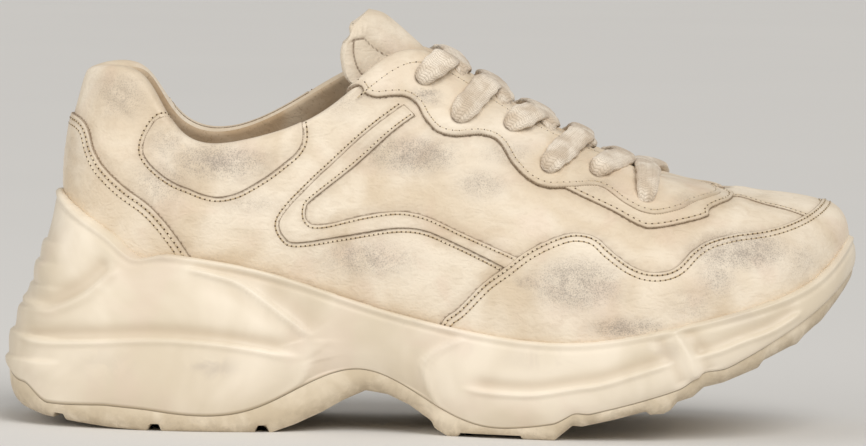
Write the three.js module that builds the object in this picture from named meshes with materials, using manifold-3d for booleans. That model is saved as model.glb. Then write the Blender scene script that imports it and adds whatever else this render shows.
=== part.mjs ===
// Worn low-top sneaker, right foot: hollow leather upper on a thick moulded sole, laced flat.
// Millimetres. +X toe, -Y outer (lateral) side, +Z up. The floor is Z = 0.
import * as THREE from "three";
import Module from "manifold-3d";

const wasm = await Module();
wasm.setup();

// Driving dimensions.
const STATIONS = 20; // columns around the shoe: 0 heel back, 1..9 outer side, 10 toe, 11..19 inner side
const STEPS = 4; // facets between two columns
const RING = STATIONS * STEPS;
const GAP = 0.3; // clearance between pieces that touch
const WALL = 2.4; // leather and lining
const FORM_TOP = 0.62; // height share of the upper that the sole cup is cut from
const INSOLE_TOP = 0.42; // share of the lower wall that the insole covers
const EYELET_RADIUS = 2.3;
const LACE_WIDTH = 7.5;
const LACE_THICK = 2;
const CENTRE = [0.15, -2.65]; // plan centre of the finished shoe, moved to the origin
const CREAM = 0xe9dcc3;
const IVORY = 0xf1e8d4;

// Height of the foot bed along the shoe, [x, z].
const BED = [
  [-150, 47.5], [-122, 47], [-96, 46], [-63, 42.5], [-27, 36], [10, 29], [47, 25.5],
  [80, 27], [106, 32.5], [124, 40.5], [138, 49], [148, 56], [160, 66],
];

// Height of the ground face of the outsole along the shoe, [x, z]; two flats stand on the floor.
const GROUND = [
  [-160, 13], [-155, 9], [-150, 6], [-142, 3.6], [-130, 2], [-118, 0.7], [-106, 0], [-58, 0],
  [-50, 2.8], [-40, 7.4], [-32, 12], [-24, 15.6], [-16, 14.4], [-8, 10.8], [0, 5.4], [6, 0],
  [45, 0], [49, 2.4], [56, 4.2], [66, 6.4], [78, 9.8], [86, 11.4], [92, 15], [98, 18.4],
  [112, 24.6], [119, 27.4], [126, 32.2], [134, 36.8], [140, 42], [150, 52], [160, 63],
];

// Plan of the upper's bottom edge, [x, y] per column.
const RIM = [
  [-123, 0], [-117, -19], [-96, -28.5], [-63, -30], [-27, -33], [10, -38.5], [47, -44.5],
  [82, -46], [112, -38.5], [134, -22.5], [145.5, 4], [139.5, 20.5], [124, 32.5], [99, 38.5],
  [68, 40.5], [30, 35], [-10, 28], [-49, 27.5], [-90, 28], [-116, 18.5],
];

// Widest line of the upper near the sole edge, [x, y, z] per column.
const WIDE = [
  [-134.5, 0, 64], [-126.5, -23.5, 64], [-101, -34.5, 61], [-66, -37, 56], [-28, -40.5, 47],
  [10, -46.5, 39], [48, -52.5, 35], [84, -53, 38], [116, -45.5, 46], [140, -28, 57],
  [152.3, 4, 66], [146.5, 24.5, 60], [130, 38.5, 51], [103, 46, 41], [70, 49, 36],
  [30, 42.5, 38], [-10, 35.5, 45], [-50, 34.5, 53], [-93, 34, 60], [-125, 23, 64],
];

// First handle above the widest line: how far the side stands up and bulges.
const LOWER = [
  [-139.5, 0, 90], [-129.5, -25, 88], [-102.5, -37, 82], [-67, -40.5, 76], [-30, -44.5, 70],
  [7, -50.5, 64], [45, -56, 60], [82, -56.5, 61], [116, -49, 69], [142.5, -31.5, 82],
  [155, 4, 93], [149.5, 27, 85], [132, 42, 74.5], [103, 49.5, 63], [69, 52.5, 60],
  [29, 46.5, 64], [-12, 39, 70], [-52, 37.5, 76], [-95, 36.5, 82], [-128, 24.5, 88],
];

// Second handle below the opening: how the side leans in to the opening.
const UPPER = [
  [-135, 0, 112], [-122, -22.5, 111], [-98.5, -31.5, 97], [-70, -33.5, 92], [-38, -34, 97],
  [-8, -33, 110], [16, -33, 103.5], [50, -33.5, 92], [84, -29, 86], [122, -20, 83.5],
  [140, 3, 83.6], [125, 21, 83.5], [90, 30.5, 86], [52, 35.5, 91.5], [16, 33.5, 104.5], [-9, 32, 113],
  [-39, 33.5, 106], [-71, 32.5, 94], [-100, 31, 99], [-122, 22, 111],
];

// Opening edge of the upper: collar and throat.
const EDGE = [
  [-130, 0, 128], [-113, -21.5, 127.5], [-94.5, -29.5, 106], [-70, -31.5, 103.5],
  [-43, -29.5, 114], [-22.5, -24.5, 131], [-3, -17, 137], [24, -13.5, 120.5], [50, -12, 106.5],
  [70.5, -9, 95.6], [79, 0, 93.4], [70.5, 9, 95.6], [50, 12, 106.5], [24, 13.5, 120.5],
  [-3, 17, 137], [-22, 24.5, 134], [-42, 29, 123], [-70, 31, 107], [-95.5, 29, 109.5],
  [-114, 21.5, 128.5],
];

// Thickness of the wall at the opening edge, padded around the collar.
const PADDING = [10, 9.5, 8, 7, 6, 4.5, 3, 2.4, 2.4, 2.4, 2.4, 2.4, 2.4, 2.4, 3, 4.5, 6, 7, 8, 9.5];

// Top edge of the midsole, outside the upper.
const CUP = [
  [-140, 0, 85], [-132, -26.5, 78], [-105, -39, 66], [-66, -42.5, 59.5], [-28, -45, 48.5],
  [9, -50, 39.5], [48, -56, 35.5], [85, -56.5, 41], [118, -49.5, 49.5], [143, -31.5, 60.5],
  [154.8, 4, 72.5], [149.5, 27, 63], [132, 42.5, 52.5], [104, 50, 44.5], [70, 53, 38],
  [29, 46.5, 38.5], [-11, 40, 46], [-51, 39.5, 57], [-97, 38.5, 66], [-130.5, 26, 78],
];

// Belly of the midsole: lower and upper handles of its side.
const BELLY_LOW = [
  [-159, 0, 32], [-150.5, -33, 27], [-112, -52, 22], [-68, -53, 22], [-27, -46, 30], [13, -55, 14],
  [51, -62.5, 15], [88, -62.5, 22.5], [121, -52.5, 34.5], [145.5, -33, 51], [157, 4, 62.5],
  [151.5, 28, 55.5], [133, 46, 42], [105, 55, 29], [71, 58, 18], [28, 51, 13], [-11, 41, 28],
  [-51, 43.5, 22], [-98, 48, 22], [-146, 32, 27],
];
const BELLY_HIGH = [
  [-141, 0, 62], [-136.5, -30, 57], [-109, -44, 50], [-67, -47, 44], [-28, -46.5, 40], [11, -52.5, 30],
  [50, -59.5, 26.5], [87, -60.5, 32], [120, -52, 42], [144.5, -33.5, 55], [156.8, 4, 68.5],
  [151, 28.5, 59.5], [133, 45, 47.5], [105, 53, 37], [71, 56, 29], [29, 49, 29.5], [-11, 41, 38],
  [-51, 42, 44], [-99, 43, 50], [-138, 29.5, 58],
];

// Joint line between midsole and outsole.
const JOINT = [
  [-156, 0, 22], [-149, -30, 14.5], [-110, -47, 8.5], [-66, -47.5, 8.5], [-26, -42.5, 24],
  [13, -50, 6.5], [51, -58.5, 10.5], [88, -59, 18.5], [121, -50, 35], [144.5, -31, 51],
  [155.5, 4, 60.5], [150.5, 26, 54.5], [132.5, 43, 42.5], [105, 51.5, 26.5], [71, 54.5, 12.5],
  [28, 47.5, 6.5], [-11, 39, 20], [-50, 39, 12], [-97, 43, 8], [-145, 29, 14],
];

// Plan of the ground face, [x, y] per column.
const TREAD = [
  [-153, 0], [-145, -27.5], [-108, -44.5], [-66, -45], [-26, -39], [13, -47.5], [51, -56], [88, -56],
  [119, -47], [142, -29], [153, 4], [148, 24], [130.5, 40], [104, 48.5], [71, 52], [28, 45],
  [-11, 35.5], [-50, 36], [-95, 40.5], [-141, 26.5],
];

// Eyelets of the outer side, [x, z], top to bottom, staggered; the inner side mirrors them.
const EYELETS = [[-5.5, 129], [8, 115.5], [27, 112], [41, 97.5], [59, 95.5], [77, 87]];

// Tongue sections from its fixed end to its top: centre x and z, edge x, half width, edge z
// (0: under the eyestay), thickness.
const TONGUE = [
  [94, 86, 95, 19, 0, 2.4], [80, 88.8, 80, 21, 0, 2.8], [66, 94.8, 64, 22.5, 0, 3],
  [52, 104, 48, 23.5, 0, 3], [38, 112, 32, 24.5, 0, 3], [24, 120.5, 16, 24, 0, 3.4],
  [11, 128.5, -1, 20, 0, 4], [0, 136, -18, 18, 124, 5], [-8, 142, -31, 18.5, 127, 7],
  [-15, 147.5, -34, 19, 134, 9], [-20.5, 151.5, -33, 18, 142, 9], [-25.5, 152.8, -31, 14, 147.5, 6],
];

// Notches and low places between the tread lugs, [x, width, turn in degrees, depth].
const GROOVES = [
  [-135.5, 4, -8, 2.2], [-100.7, 4, -4, 2.6], [-61.6, 4, 3, 2.6], [17, 11, -6, 1.4],
  [65, 24, -6, 1.3], [103, 12, -8, 1.2], [126, 9, -8, 1.2],
];

const group = new THREE.Group();

// Value of an open table [x, z] at x, with smooth steps between its points.
function heightAt(table, x) {
  let i = 1;
  while (i < table.length - 1 && table[i][0] < x) i++;
  const [x0, z0] = table[i - 1];
  const [x1, z1] = table[i];
  const f = Math.min(1, Math.max(0, (x - x0) / (x1 - x0)));
  return z0 + (z1 - z0) * f;
}

// Foot bed height with the corners of its table rounded off.
function bedAt(x) {
  return (heightAt(BED, x - 9) + heightAt(BED, x) * 2 + heightAt(BED, x + 9)) / 4;
}

// Controls of the closed cubic spline through the given points.
function closedSpline(points) {
  const target = points.map((p) => [].concat(p));
  const controls = target.map((p) => p.slice());
  const n = target.length;
  for (let pass = 0; pass < 40; pass++) {
    for (let i = 0; i < n; i++) {
      const before = controls[(i + n - 1) % n];
      const after = controls[(i + 1) % n];
      controls[i] = target[i].map((v, k) => (6 * v - before[k] - after[k]) / 4);
    }
  }
  return controls;
}

// Point of a closed spline at column s.
function splineAt(controls, s) {
  const n = controls.length;
  const i = Math.floor(s);
  const f = s - i;
  const weights = [
    (1 - f) ** 3 / 6,
    (3 * f ** 3 - 6 * f ** 2 + 4) / 6,
    (-3 * f ** 3 + 3 * f ** 2 + 3 * f + 1) / 6,
    f ** 3 / 6,
  ];
  return controls[0].map((_, k) =>
    weights.reduce((sum, w, j) => sum + w * controls[(i + j - 1 + 2 * n) % n][k], 0),
  );
}

const rim = closedSpline(RIM);
const wide = closedSpline(WIDE);
const lower = closedSpline(LOWER);
const upperHandle = closedSpline(UPPER);
const edge = closedSpline(EDGE);
const padding = closedSpline(PADDING);
const cup = closedSpline(CUP);
const bellyLow = closedSpline(BELLY_LOW);
const bellyHigh = closedSpline(BELLY_HIGH);
const joint = closedSpline(JOINT);
const tread = closedSpline(TREAD);

// Point of the upper's outside at column s: v from -1 at the bottom edge, 0 widest, 1 opening edge.
function wallPoint(s, v) {
  const w = splineAt(wide, s);
  if (v < 0) {
    const [x, y] = splineAt(rim, s);
    const z = bedAt(x) + GAP;
    const f = v + 1;
    const a = (1 - f) ** 2;
    const b = 2 * f * (1 - f);
    const c = f ** 2;
    const knee = [w[0], w[1], z + 0.4 * (w[2] - z)];
    return new THREE.Vector3(
      a * x + b * knee[0] + c * w[0],
      a * y + b * knee[1] + c * w[1],
      a * z + b * knee[2] + c * w[2],
    );
  }
  const l = splineAt(lower, s);
  const u = splineAt(upperHandle, s);
  const e = splineAt(edge, s);
  const b = [(1 - v) ** 3, 3 * v * (1 - v) ** 2, 3 * v ** 2 * (1 - v), v ** 3];
  return new THREE.Vector3(...[0, 1, 2].map((k) => b[0] * w[k] + b[1] * l[k] + b[2] * u[k] + b[3] * e[k]));
}

// Outward direction of the upper's outside.
function wallNormal(s, v) {
  const d = 0.02;
  const low = Math.max(-1, v - d);
  const high = Math.min(1, v + d);
  const along = wallPoint(s + d, v).sub(wallPoint(s - d, v));
  const up = wallPoint(s, high).sub(wallPoint(s, low));
  return along.cross(up).normalize();
}

// Point at a distance outside (positive) or inside (negative) the upper's outside.
function wallOffset(s, v, distance) {
  return wallPoint(s, v).addScaledVector(wallNormal(s, v), distance);
}

// Wall thickness, growing to the padding at the opening.
function wallThickness(s, v) {
  const f = Math.min(1, Math.max(0, (v - 0.5) / 0.4));
  const smooth = f * f * (3 - 2 * f);
  return WALL + (splineAt(padding, s)[0] - WALL) * smooth;
}

// Ring of points, one per facet column.
function ring(pointAt) {
  return Array.from({ length: RING }, (_, i) => pointAt(i / STEPS));
}

// Triangles between equal rings; the last ring joins the first one when it wraps round.
function skin(rings, wraps, triangles) {
  const n = rings[0].length;
  const last = wraps ? rings.length : rings.length - 1;
  for (let r = 0; r < last; r++) {
    const below = r * n;
    const above = ((r + 1) % rings.length) * n;
    for (let i = 0; i < n; i++) {
      const j = (i + 1) % n;
      triangles.push(below + i, below + j, above + j, below + i, above + j, above + i);
    }
  }
}

// Ladder of triangles across one ring, from column pair to column pair.
function lid(first, n, facesUp, triangles) {
  for (let i = 0; i < n / 2; i++) {
    const a = first + i;
    const b = first + i + 1;
    const c = first + n - i - 1;
    const d = first + ((n - i) % n);
    const faces = [];
    if (b !== c) faces.push([a, b, c]);
    if (a !== d) faces.push([a, c, d]);
    for (const [p, q, r] of faces) {
      if (facesUp) triangles.push(p, q, r);
      else triangles.push(p, r, q);
    }
  }
}

// Closed solid from rings, bottom to top with lids, or wrapped round into a tube.
function solidOf(rings, wraps) {
  const triangles = [];
  skin(rings, wraps, triangles);
  const n = rings[0].length;
  if (!wraps) {
    lid(0, n, false, triangles);
    lid((rings.length - 1) * n, n, true, triangles);
  }
  const points = rings.flat();
  return new wasm.Manifold(
    new wasm.Mesh({
      numProp: 3,
      vertProperties: new Float32Array(points.flatMap((p) => [p.x, p.y, p.z])),
      triVerts: new Uint32Array(triangles),
    }),
  );
}

// Solid from a three.js geometry that is closed once its doubled points are joined.
function solidFrom(geometry) {
  const position = geometry.toNonIndexed().getAttribute("position");
  const seen = new Map();
  const points = [];
  const triangles = [];
  for (let i = 0; i < position.count; i++) {
    const p = [position.getX(i), position.getY(i), position.getZ(i)];
    const key = p.map((v) => Math.round(v * 1e4)).join(",");
    if (!seen.has(key)) {
      seen.set(key, seen.size);
      points.push(...p);
    }
    triangles.push(seen.get(key));
  }
  const kept = [];
  for (let i = 0; i < triangles.length; i += 3) {
    const [a, b, c] = triangles.slice(i, i + 3);
    if (a !== b && b !== c && a !== c) kept.push(a, b, c);
  }
  return new wasm.Manifold(
    new wasm.Mesh({
      numProp: 3,
      vertProperties: new Float32Array(points),
      triVerts: new Uint32Array(kept),
    }),
  );
}

// Adds a solid to the group as one named mesh.
function addPiece(name, solid, color, roughness) {
  const mesh = solid.getMesh();
  const points = new Float32Array(mesh.numVert * 3);
  for (let i = 0; i < mesh.numVert; i++) {
    points.set(mesh.vertProperties.subarray(i * mesh.numProp, i * mesh.numProp + 3), i * 3);
  }
  const geometry = new THREE.BufferGeometry();
  geometry.setAttribute("position", new THREE.BufferAttribute(points, 3));
  geometry.setIndex(new THREE.BufferAttribute(mesh.triVerts, 1));
  geometry.translate(-CENTRE[0], -CENTRE[1], 0);
  geometry.computeVertexNormals();
  const piece = new THREE.Mesh(
    geometry,
    new THREE.MeshStandardMaterial({ color, roughness, metalness: 0 }),
  );
  piece.name = name;
  group.add(piece);
}

// Column and height share of the wall point with two given coordinates (axes 0 x, 1 y, 2 z).
function wallAt(axes, target, start) {
  let [s, v] = start;
  for (let turn = 0; turn < 30; turn++) {
    const at = wallPoint(s, v).toArray();
    const bySide = wallPoint(s + 0.01, v).toArray();
    const byHeight = wallPoint(s, v + 0.01).toArray();
    const [a, b] = axes.map((k) => (bySide[k] - at[k]) / 0.01);
    const [c, d] = axes.map((k) => (byHeight[k] - at[k]) / 0.01);
    const [p, q] = axes.map((k, i) => target[i] - at[k]);
    const scale = a * d - b * c;
    s += Math.max(-0.5, Math.min(0.5, (p * d - q * c) / scale));
    v += Math.max(-0.1, Math.min(0.1, (q * a - p * b) / scale));
    v = Math.max(0.3, Math.min(0.995, v));
  }
  return [s, v];
}

// Hollow upper: outside, rolled opening edge, inside, bottom edge.
function makeUpper() {
  const outside = [-1, -0.58, 0, 0.12, 0.25, 0.38, 0.5, FORM_TOP, 0.74, 0.87, 1];
  const inside = [1, 0.9, 0.78, 0.66, 0.52, 0.36, 0.18, 0, -0.58, -0.79, -1];
  const rings = outside.map((v) => ring((s) => wallPoint(s, v)));
  for (const turn of [45, 90, 135]) {
    const a = (turn * Math.PI) / 180;
    rings.push(
      ring((s) => {
        const half = wallThickness(s, 1) / 2;
        const up = wallPoint(s, 1).sub(wallPoint(s, 0.96)).normalize();
        return wallOffset(s, 1, -half)
          .addScaledVector(wallNormal(s, 1), half * Math.cos(a))
          .addScaledVector(up, 0.8 * half * Math.sin(a));
      }),
    );
  }
  for (const v of inside) rings.push(ring((s) => wallOffset(s, v, -wallThickness(s, v))));
  let shell = solidOf(rings, true);
  for (const [column, v] of eyelets) {
    for (const s of [column, STATIONS - column]) {
      const normal = wallNormal(s, v);
      const hole = new THREE.CylinderGeometry(EYELET_RADIUS, EYELET_RADIUS, 12, 10);
      hole.applyQuaternion(new THREE.Quaternion().setFromUnitVectors(new THREE.Vector3(0, 1, 0), normal));
      const at = wallPoint(s, v);
      hole.translate(at.x, at.y, at.z);
      shell = shell.subtract(solidFrom(hole));
    }
  }
  return shell;
}

// Filled shape of the upper with the clearance added, for cutting the sole cup.
function footForm() {
  const rows = [-1, -0.58, 0, 0.12, 0.25, 0.38, 0.5, FORM_TOP];
  const rings = rows.map((v) => ring((s) => wallOffset(s, v, GAP)));
  rings[0].forEach((p) => {
    p.z = Math.min(p.z, bedAt(p.x));
  });
  return solidOf(rings, false);
}

// Point of a closed spline as a vector.
function vectorAt(controls, s) {
  return new THREE.Vector3(...splineAt(controls, s));
}

// Moulded midsole with the cup for the upper.
function makeMidsole() {
  const rows = [0, 0.12, 0.25, 0.4, 0.55, 0.7, 0.85, 1];
  const rings = rows.map((v) =>
    ring((s) => {
      const b = [(1 - v) ** 3, 3 * v * (1 - v) ** 2, 3 * v ** 2 * (1 - v), v ** 3];
      return new THREE.Vector3()
        .addScaledVector(vectorAt(joint, s), b[0])
        .addScaledVector(vectorAt(bellyLow, s), b[1])
        .addScaledVector(vectorAt(bellyHigh, s), b[2])
        .addScaledVector(vectorAt(cup, s), b[3]);
    }),
  );
  return solidOf(rings, false).subtract(footForm());
}

// Rubber outsole below the joint, with its tread grooves cut.
function makeOutsole() {
  const top = ring((s) => {
    const p = vectorAt(joint, s);
    p.z -= GAP;
    return p;
  });
  const bottom = ring((s) => {
    const [x, y] = splineAt(tread, s);
    return new THREE.Vector3(x, y, heightAt(GROUND, x));
  });
  const side = ring((s) => {
    const p = vectorAt(joint, s);
    const [x, y] = splineAt(tread, s);
    const z = heightAt(GROUND, x);
    return new THREE.Vector3(
      p.x + 0.25 * (x - p.x),
      p.y + 0.25 * (y - p.y),
      p.z - GAP + 0.62 * (z - p.z + GAP),
    );
  });
  let sole = solidOf([bottom, side, top], false);
  for (const [x, width, turn, depth] of GROOVES) {
    const cutter = new THREE.BoxGeometry(width, 140, 2 * depth);
    cutter.rotateZ((turn * Math.PI) / 180);
    const slope = Math.atan2(heightAt(GROUND, x + 6) - heightAt(GROUND, x - 6), 12);
    cutter.rotateY(-slope);
    cutter.translate(x, 0, heightAt(GROUND, x));
    sole = sole.subtract(solidFrom(cutter));
  }
  return sole;
}

// Insole lying in the bottom of the upper.
function makeInsole() {
  const inset = WALL + GAP;
  const rows = [-1, -1 + INSOLE_TOP / 2, -1 + INSOLE_TOP];
  const rings = rows.map((v) => ring((s) => wallOffset(s, v, -inset)));
  const bottom = rings[0].map((p) => {
    const q = p.clone();
    q.z = bedAt(q.x) + GAP;
    q.y *= 0.985;
    return q;
  });
  return solidOf([bottom, ...rings], false);
}

// Height just under the wall of the upper over a plan point; no limit where the upper is open.
function ceilingAt(x, y) {
  const [s, v] = wallAt([0, 1], [x, y], [y < 0 ? STATIONS * 0.4 : STATIONS * 0.6, 0.85]);
  const at = wallPoint(s, v);
  if (Math.hypot(at.x - x, at.y - y) > 1) return Infinity;
  return at.z - (wallThickness(s, v) + GAP + 0.4) / Math.max(0.4, wallNormal(s, v).z);
}

// Tongue under the eyestays: thin below, padded at the top.
function makeTongue() {
  const shares = [-1, -0.8, -0.6, -0.3, 0, 0.3, 0.6, 0.8, 1];
  const grid = TONGUE.map(([x, z, edgeX, half, edgeZ]) =>
    shares.map((q) => {
      const y = q * half;
      const low = edgeZ || ceilingAt(edgeX, q < 0 ? -half : half);
      const p = new THREE.Vector3(x + (edgeX - x) * q * q, y, z + (low - z) * q * q);
      p.z = Math.min(p.z, ceilingAt(p.x, y));
      return p;
    }),
  );
  const last = grid.length - 1;
  const rings = grid.map((row, k) => {
    const inside = row.map((p, m) => {
      const along = grid[Math.min(k + 1, last)][m].clone().sub(grid[Math.max(k - 1, 0)][m]);
      const across = row[Math.min(m + 1, 8)].clone().sub(row[Math.max(m - 1, 0)]);
      return p.clone().addScaledVector(across.cross(along).normalize(), -TONGUE[k][5]);
    });
    return [...row, ...inside.slice(1, 8).reverse()];
  });
  return solidOf(rings, false);
}

// Height of the tongue's outside over the middle line at x.
function tongueTop(x) {
  let k = 1;
  while (k < TONGUE.length - 1 && TONGUE[k][0] > x) k++;
  const [x0, z0] = TONGUE[k - 1];
  const [x1, z1] = TONGUE[k];
  return z0 + ((z1 - z0) * (x - x0)) / (x1 - x0);
}

// Flat lace strip along a path, lying square to the normals given at its points.
function ribbon(points, normals) {
  const path = new THREE.CatmullRomCurve3(points);
  const facing = new THREE.CatmullRomCurve3(normals);
  const steps = 10;
  const wide = LACE_WIDTH / 2;
  const thick = LACE_THICK / 2;
  const section = [
    [wide, 0], [wide * 0.8, thick], [-wide * 0.8, thick],
    [-wide, 0], [-wide * 0.8, -thick], [wide * 0.8, -thick],
  ];
  const rings = [];
  for (let i = 0; i <= steps; i++) {
    const at = path.getPoint(i / steps);
    const along = path.getTangent(i / steps);
    const up = facing.getPoint(i / steps);
    up.addScaledVector(along, -up.dot(along)).normalize();
    const side = up.clone().cross(along);
    rings.push(
      section.map(([a, b]) => at.clone().addScaledVector(side, a).addScaledVector(up, b)),
    );
  }
  return solidOf(rings, false);
}

// Column of the opening edge at x on the outer side of the throat.
function throatAt(x) {
  let low = 5.6;
  let high = 10;
  for (let turn = 0; turn < 30; turn++) {
    const middle = (low + high) / 2;
    if (splineAt(edge, middle)[0] < x) low = middle;
    else high = middle;
  }
  return low;
}

// One strand from eyelet k over its eyestay edge and the tongue to the far eyestay edge.
function strand(k, mirrored, lift) {
  const turn = (s) => (mirrored ? STATIONS - s : s);
  const [s, v] = eyelets[k];
  const brinkAt = turn(throatAt(EYELETS[k][0] + 4));
  const endAt = turn(STATIONS - throatAt(EYELETS[k + 1][0] - 7));
  const rest = LACE_THICK / 2 + 0.5;
  const start = wallOffset(turn(s), v, rest);
  const flank = wallOffset((turn(s) + brinkAt) / 2, (v + 0.98) / 2, rest + 0.8);
  const brink = wallOffset(brinkAt, 0.98, rest + 1.4);
  const end = wallOffset(endAt, 1, 1.2);
  const middle = brink.clone().lerp(end, 0.5);
  const crown = new THREE.Vector3(middle.x, 0, tongueTop(middle.x) + rest + 0.6 + lift);
  const tip = crown.clone().lerp(end, 0.72);
  const up = wallNormal(turn(s), v);
  const slope = new THREE.Vector3(0.45, 0, 1).normalize();
  const far = wallNormal(endAt, 1);
  return ribbon(
    [start, flank, brink, crown, tip],
    [up, up, up.clone().add(slope).normalize(), slope, far.clone().add(slope).normalize()],
  );
}

// Straight bar between the two bottom eyelets, over the lower end of the throat.
function makeBar() {
  const [s, v] = eyelets[eyelets.length - 1];
  const [x] = EYELETS[eyelets.length - 1];
  const rest = LACE_THICK / 2 + 0.5;
  const half = Math.abs(wallPoint(s, v).y);
  const shares = [-1, -0.7, -0.42, 0, 0.42, 0.7, 1];
  const spots = shares.map((q) => {
    if (!q) return [STATIONS / 2, 1];
    return wallAt([0, 1], [x, q * half], [q < 0 ? STATIONS * 0.45 : STATIONS * 0.55, 0.9]);
  });
  return ribbon(
    spots.map(([a, b], i) => {
      const p = wallOffset(a, b, rest + (shares[i] ? 0.5 : 2.4));
      if (!shares[i]) p.x = x;
      return p;
    }),
    spots.map(([a, b]) => wallNormal(a, b)),
  );
}

const eyelets = EYELETS.map(([x, z]) => wallAt([0, 2], [x, z], [6 + (x + 3) / 27, 0.85]));

addPiece("outsole", makeOutsole(), IVORY, 0.75);
addPiece("midsole", makeMidsole(), IVORY, 0.6);
addPiece("upper", makeUpper(), CREAM, 0.65);
addPiece("insole", makeInsole(), CREAM, 0.9);
addPiece("tongue", makeTongue(), CREAM, 0.65);
for (let k = 0; k < 5; k++) {
  addPiece("lace_cross_" + (k + 1), strand(k, false, 0).add(strand(k, true, 1.5)), IVORY, 0.95);
}
addPiece("lace_bar", makeBar(), IVORY, 0.95);

export default group;
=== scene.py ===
"""Worn low-top sneaker, right foot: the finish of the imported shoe.

Every piece is worked out in the millimetres of the last (+X toe, -Y outer side, +Z up) and put in
the frame's metres at the end. The side of the upper is one surface of two numbers: the column s,
0 at the heel back, 10 at the toe and 20 at the heel back again by way of the inner side, and the
height share v, -1 at the bottom edge, 0 at the widest line, 1 at the opening edge and up to 1.1
round the rolled edge. The leather forms are lofted from those sections, because a primitive shaped
by hand can't give the true shape of a last.
"""

import math

import bpy
import numpy as np
from mathutils import Matrix, Vector
from mathutils.geometry import delaunay_2d_cdt
from mathutils.kdtree import KDTree


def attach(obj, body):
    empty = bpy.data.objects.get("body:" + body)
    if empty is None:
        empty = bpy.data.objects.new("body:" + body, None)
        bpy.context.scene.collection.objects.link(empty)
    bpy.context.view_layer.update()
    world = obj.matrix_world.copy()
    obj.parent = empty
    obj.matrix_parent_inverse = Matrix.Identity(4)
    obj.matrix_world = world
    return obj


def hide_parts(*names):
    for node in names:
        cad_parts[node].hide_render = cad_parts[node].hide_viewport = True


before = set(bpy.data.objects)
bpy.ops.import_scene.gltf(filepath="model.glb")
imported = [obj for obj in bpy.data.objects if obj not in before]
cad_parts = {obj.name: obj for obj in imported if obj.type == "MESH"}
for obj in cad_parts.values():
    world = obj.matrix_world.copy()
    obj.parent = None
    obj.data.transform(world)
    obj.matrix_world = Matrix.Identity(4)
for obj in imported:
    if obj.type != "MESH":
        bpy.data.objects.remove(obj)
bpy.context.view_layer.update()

bl_info = {
    "name": "Worn sneaker",
    "version": (1, 0, 0),
    "blender": (4, 5, 0),
    "location": "View3D > Sidebar > Sneaker",
    "description": "Builds the finished pieces of a worn leather sneaker around its packed solids",
    "category": "Object",
}

MM = 0.001
CENTRE = np.array([0.15, -2.65, 0.0])  # plan centre of the shoe, moved to the origin
GAP = 0.3
WALL = 2.4
STATIONS = 20
SIDE_COLUMNS = 440  # columns of the upper's mesh
SOLE_COLUMNS = 560
TREAD_COLUMNS = 1400
JOINT_GAP = 0.12  # closed by the cement line
ROLL = 0.1  # height share that the rolled edge takes

# Sections of the last and the sole, one point per column.
BED = [
    [-150, 47.5], [-122, 47], [-96, 46], [-63, 42.5], [-27, 36], [10, 29], [47, 25.5],
    [80, 27], [106, 32.5], [124, 40.5], [138, 49], [148, 56], [160, 66],
]
GROUND = [
    [-160, 13], [-155, 9], [-150, 6], [-142, 3.6], [-130, 2], [-118, 0.7], [-106, 0], [-58, 0],
    [-50, 2.8], [-40, 7.4], [-32, 12], [-24, 15.6], [-16, 14.4], [-8, 10.8], [0, 5.4], [1.5, 2.6],
    [6, 0], [45, 0], [48, 2.6], [51.5, 5.6], [55, 5.4], [66, 8], [78, 11.4], [79.5, 10.2],
    [84.5, 10.6], [87, 12], [89.5, 15], [95, 16.8], [99, 20.4], [106, 22], [118.8, 27.2],
    [120.2, 29.6], [130.5, 34.6], [133, 35.4], [135.3, 38], [139.5, 41.4], [141.5, 42.6],
    [150, 52], [160, 63],
]
RIM = [
    [-123, 0], [-117, -19], [-96, -28.5], [-63, -30], [-27, -33], [10, -38.5], [47, -44.5],
    [82, -46], [112, -38.5], [134, -22.5], [145.5, 4], [139.5, 20.5], [124, 32.5], [99, 38.5],
    [68, 40.5], [30, 35], [-10, 28], [-49, 27.5], [-90, 28], [-116, 18.5],
]
WIDE = [
    [-134.5, 0, 64], [-126.5, -23.5, 64], [-101, -34.5, 61], [-66, -37, 56], [-28, -40.5, 47],
    [10, -46.5, 39], [48, -52.5, 35], [84, -53, 38], [116, -45.5, 46], [140, -28, 57],
    [152.3, 4, 66], [146.5, 24.5, 60], [130, 38.5, 51], [103, 46, 41], [70, 49, 36],
    [30, 42.5, 38], [-10, 35.5, 45], [-50, 34.5, 53], [-93, 34, 60], [-125, 23, 64],
]
LOWER = [
    [-139.5, 0, 90], [-129.5, -25, 88], [-102.5, -37, 82], [-67, -40.5, 76], [-30, -44.5, 70],
    [7, -50.5, 64], [45, -56, 60], [82, -56.5, 61], [116, -49, 69], [142.5, -31.5, 82],
    [155, 4, 93], [149.5, 27, 85], [132, 42, 74.5], [103, 49.5, 63], [69, 52.5, 60],
    [29, 46.5, 64], [-12, 39, 70], [-52, 37.5, 76], [-95, 36.5, 82], [-128, 24.5, 88],
]
UPPER = [
    [-135, 0, 112], [-122, -22.5, 111], [-98.5, -31.5, 97], [-70, -33.5, 92], [-38, -34, 97],
    [-8, -33, 110], [16, -33, 103.5], [50, -33.5, 92], [84, -29, 86], [122, -20, 83.5],
    [140, 3, 83.6], [125, 21, 83.5], [90, 30.5, 86], [52, 35.5, 91.5], [16, 33.5, 104.5],
    [-9, 32, 113], [-39, 33.5, 106], [-71, 32.5, 94], [-100, 31, 99], [-122, 22, 111],
]
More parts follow.
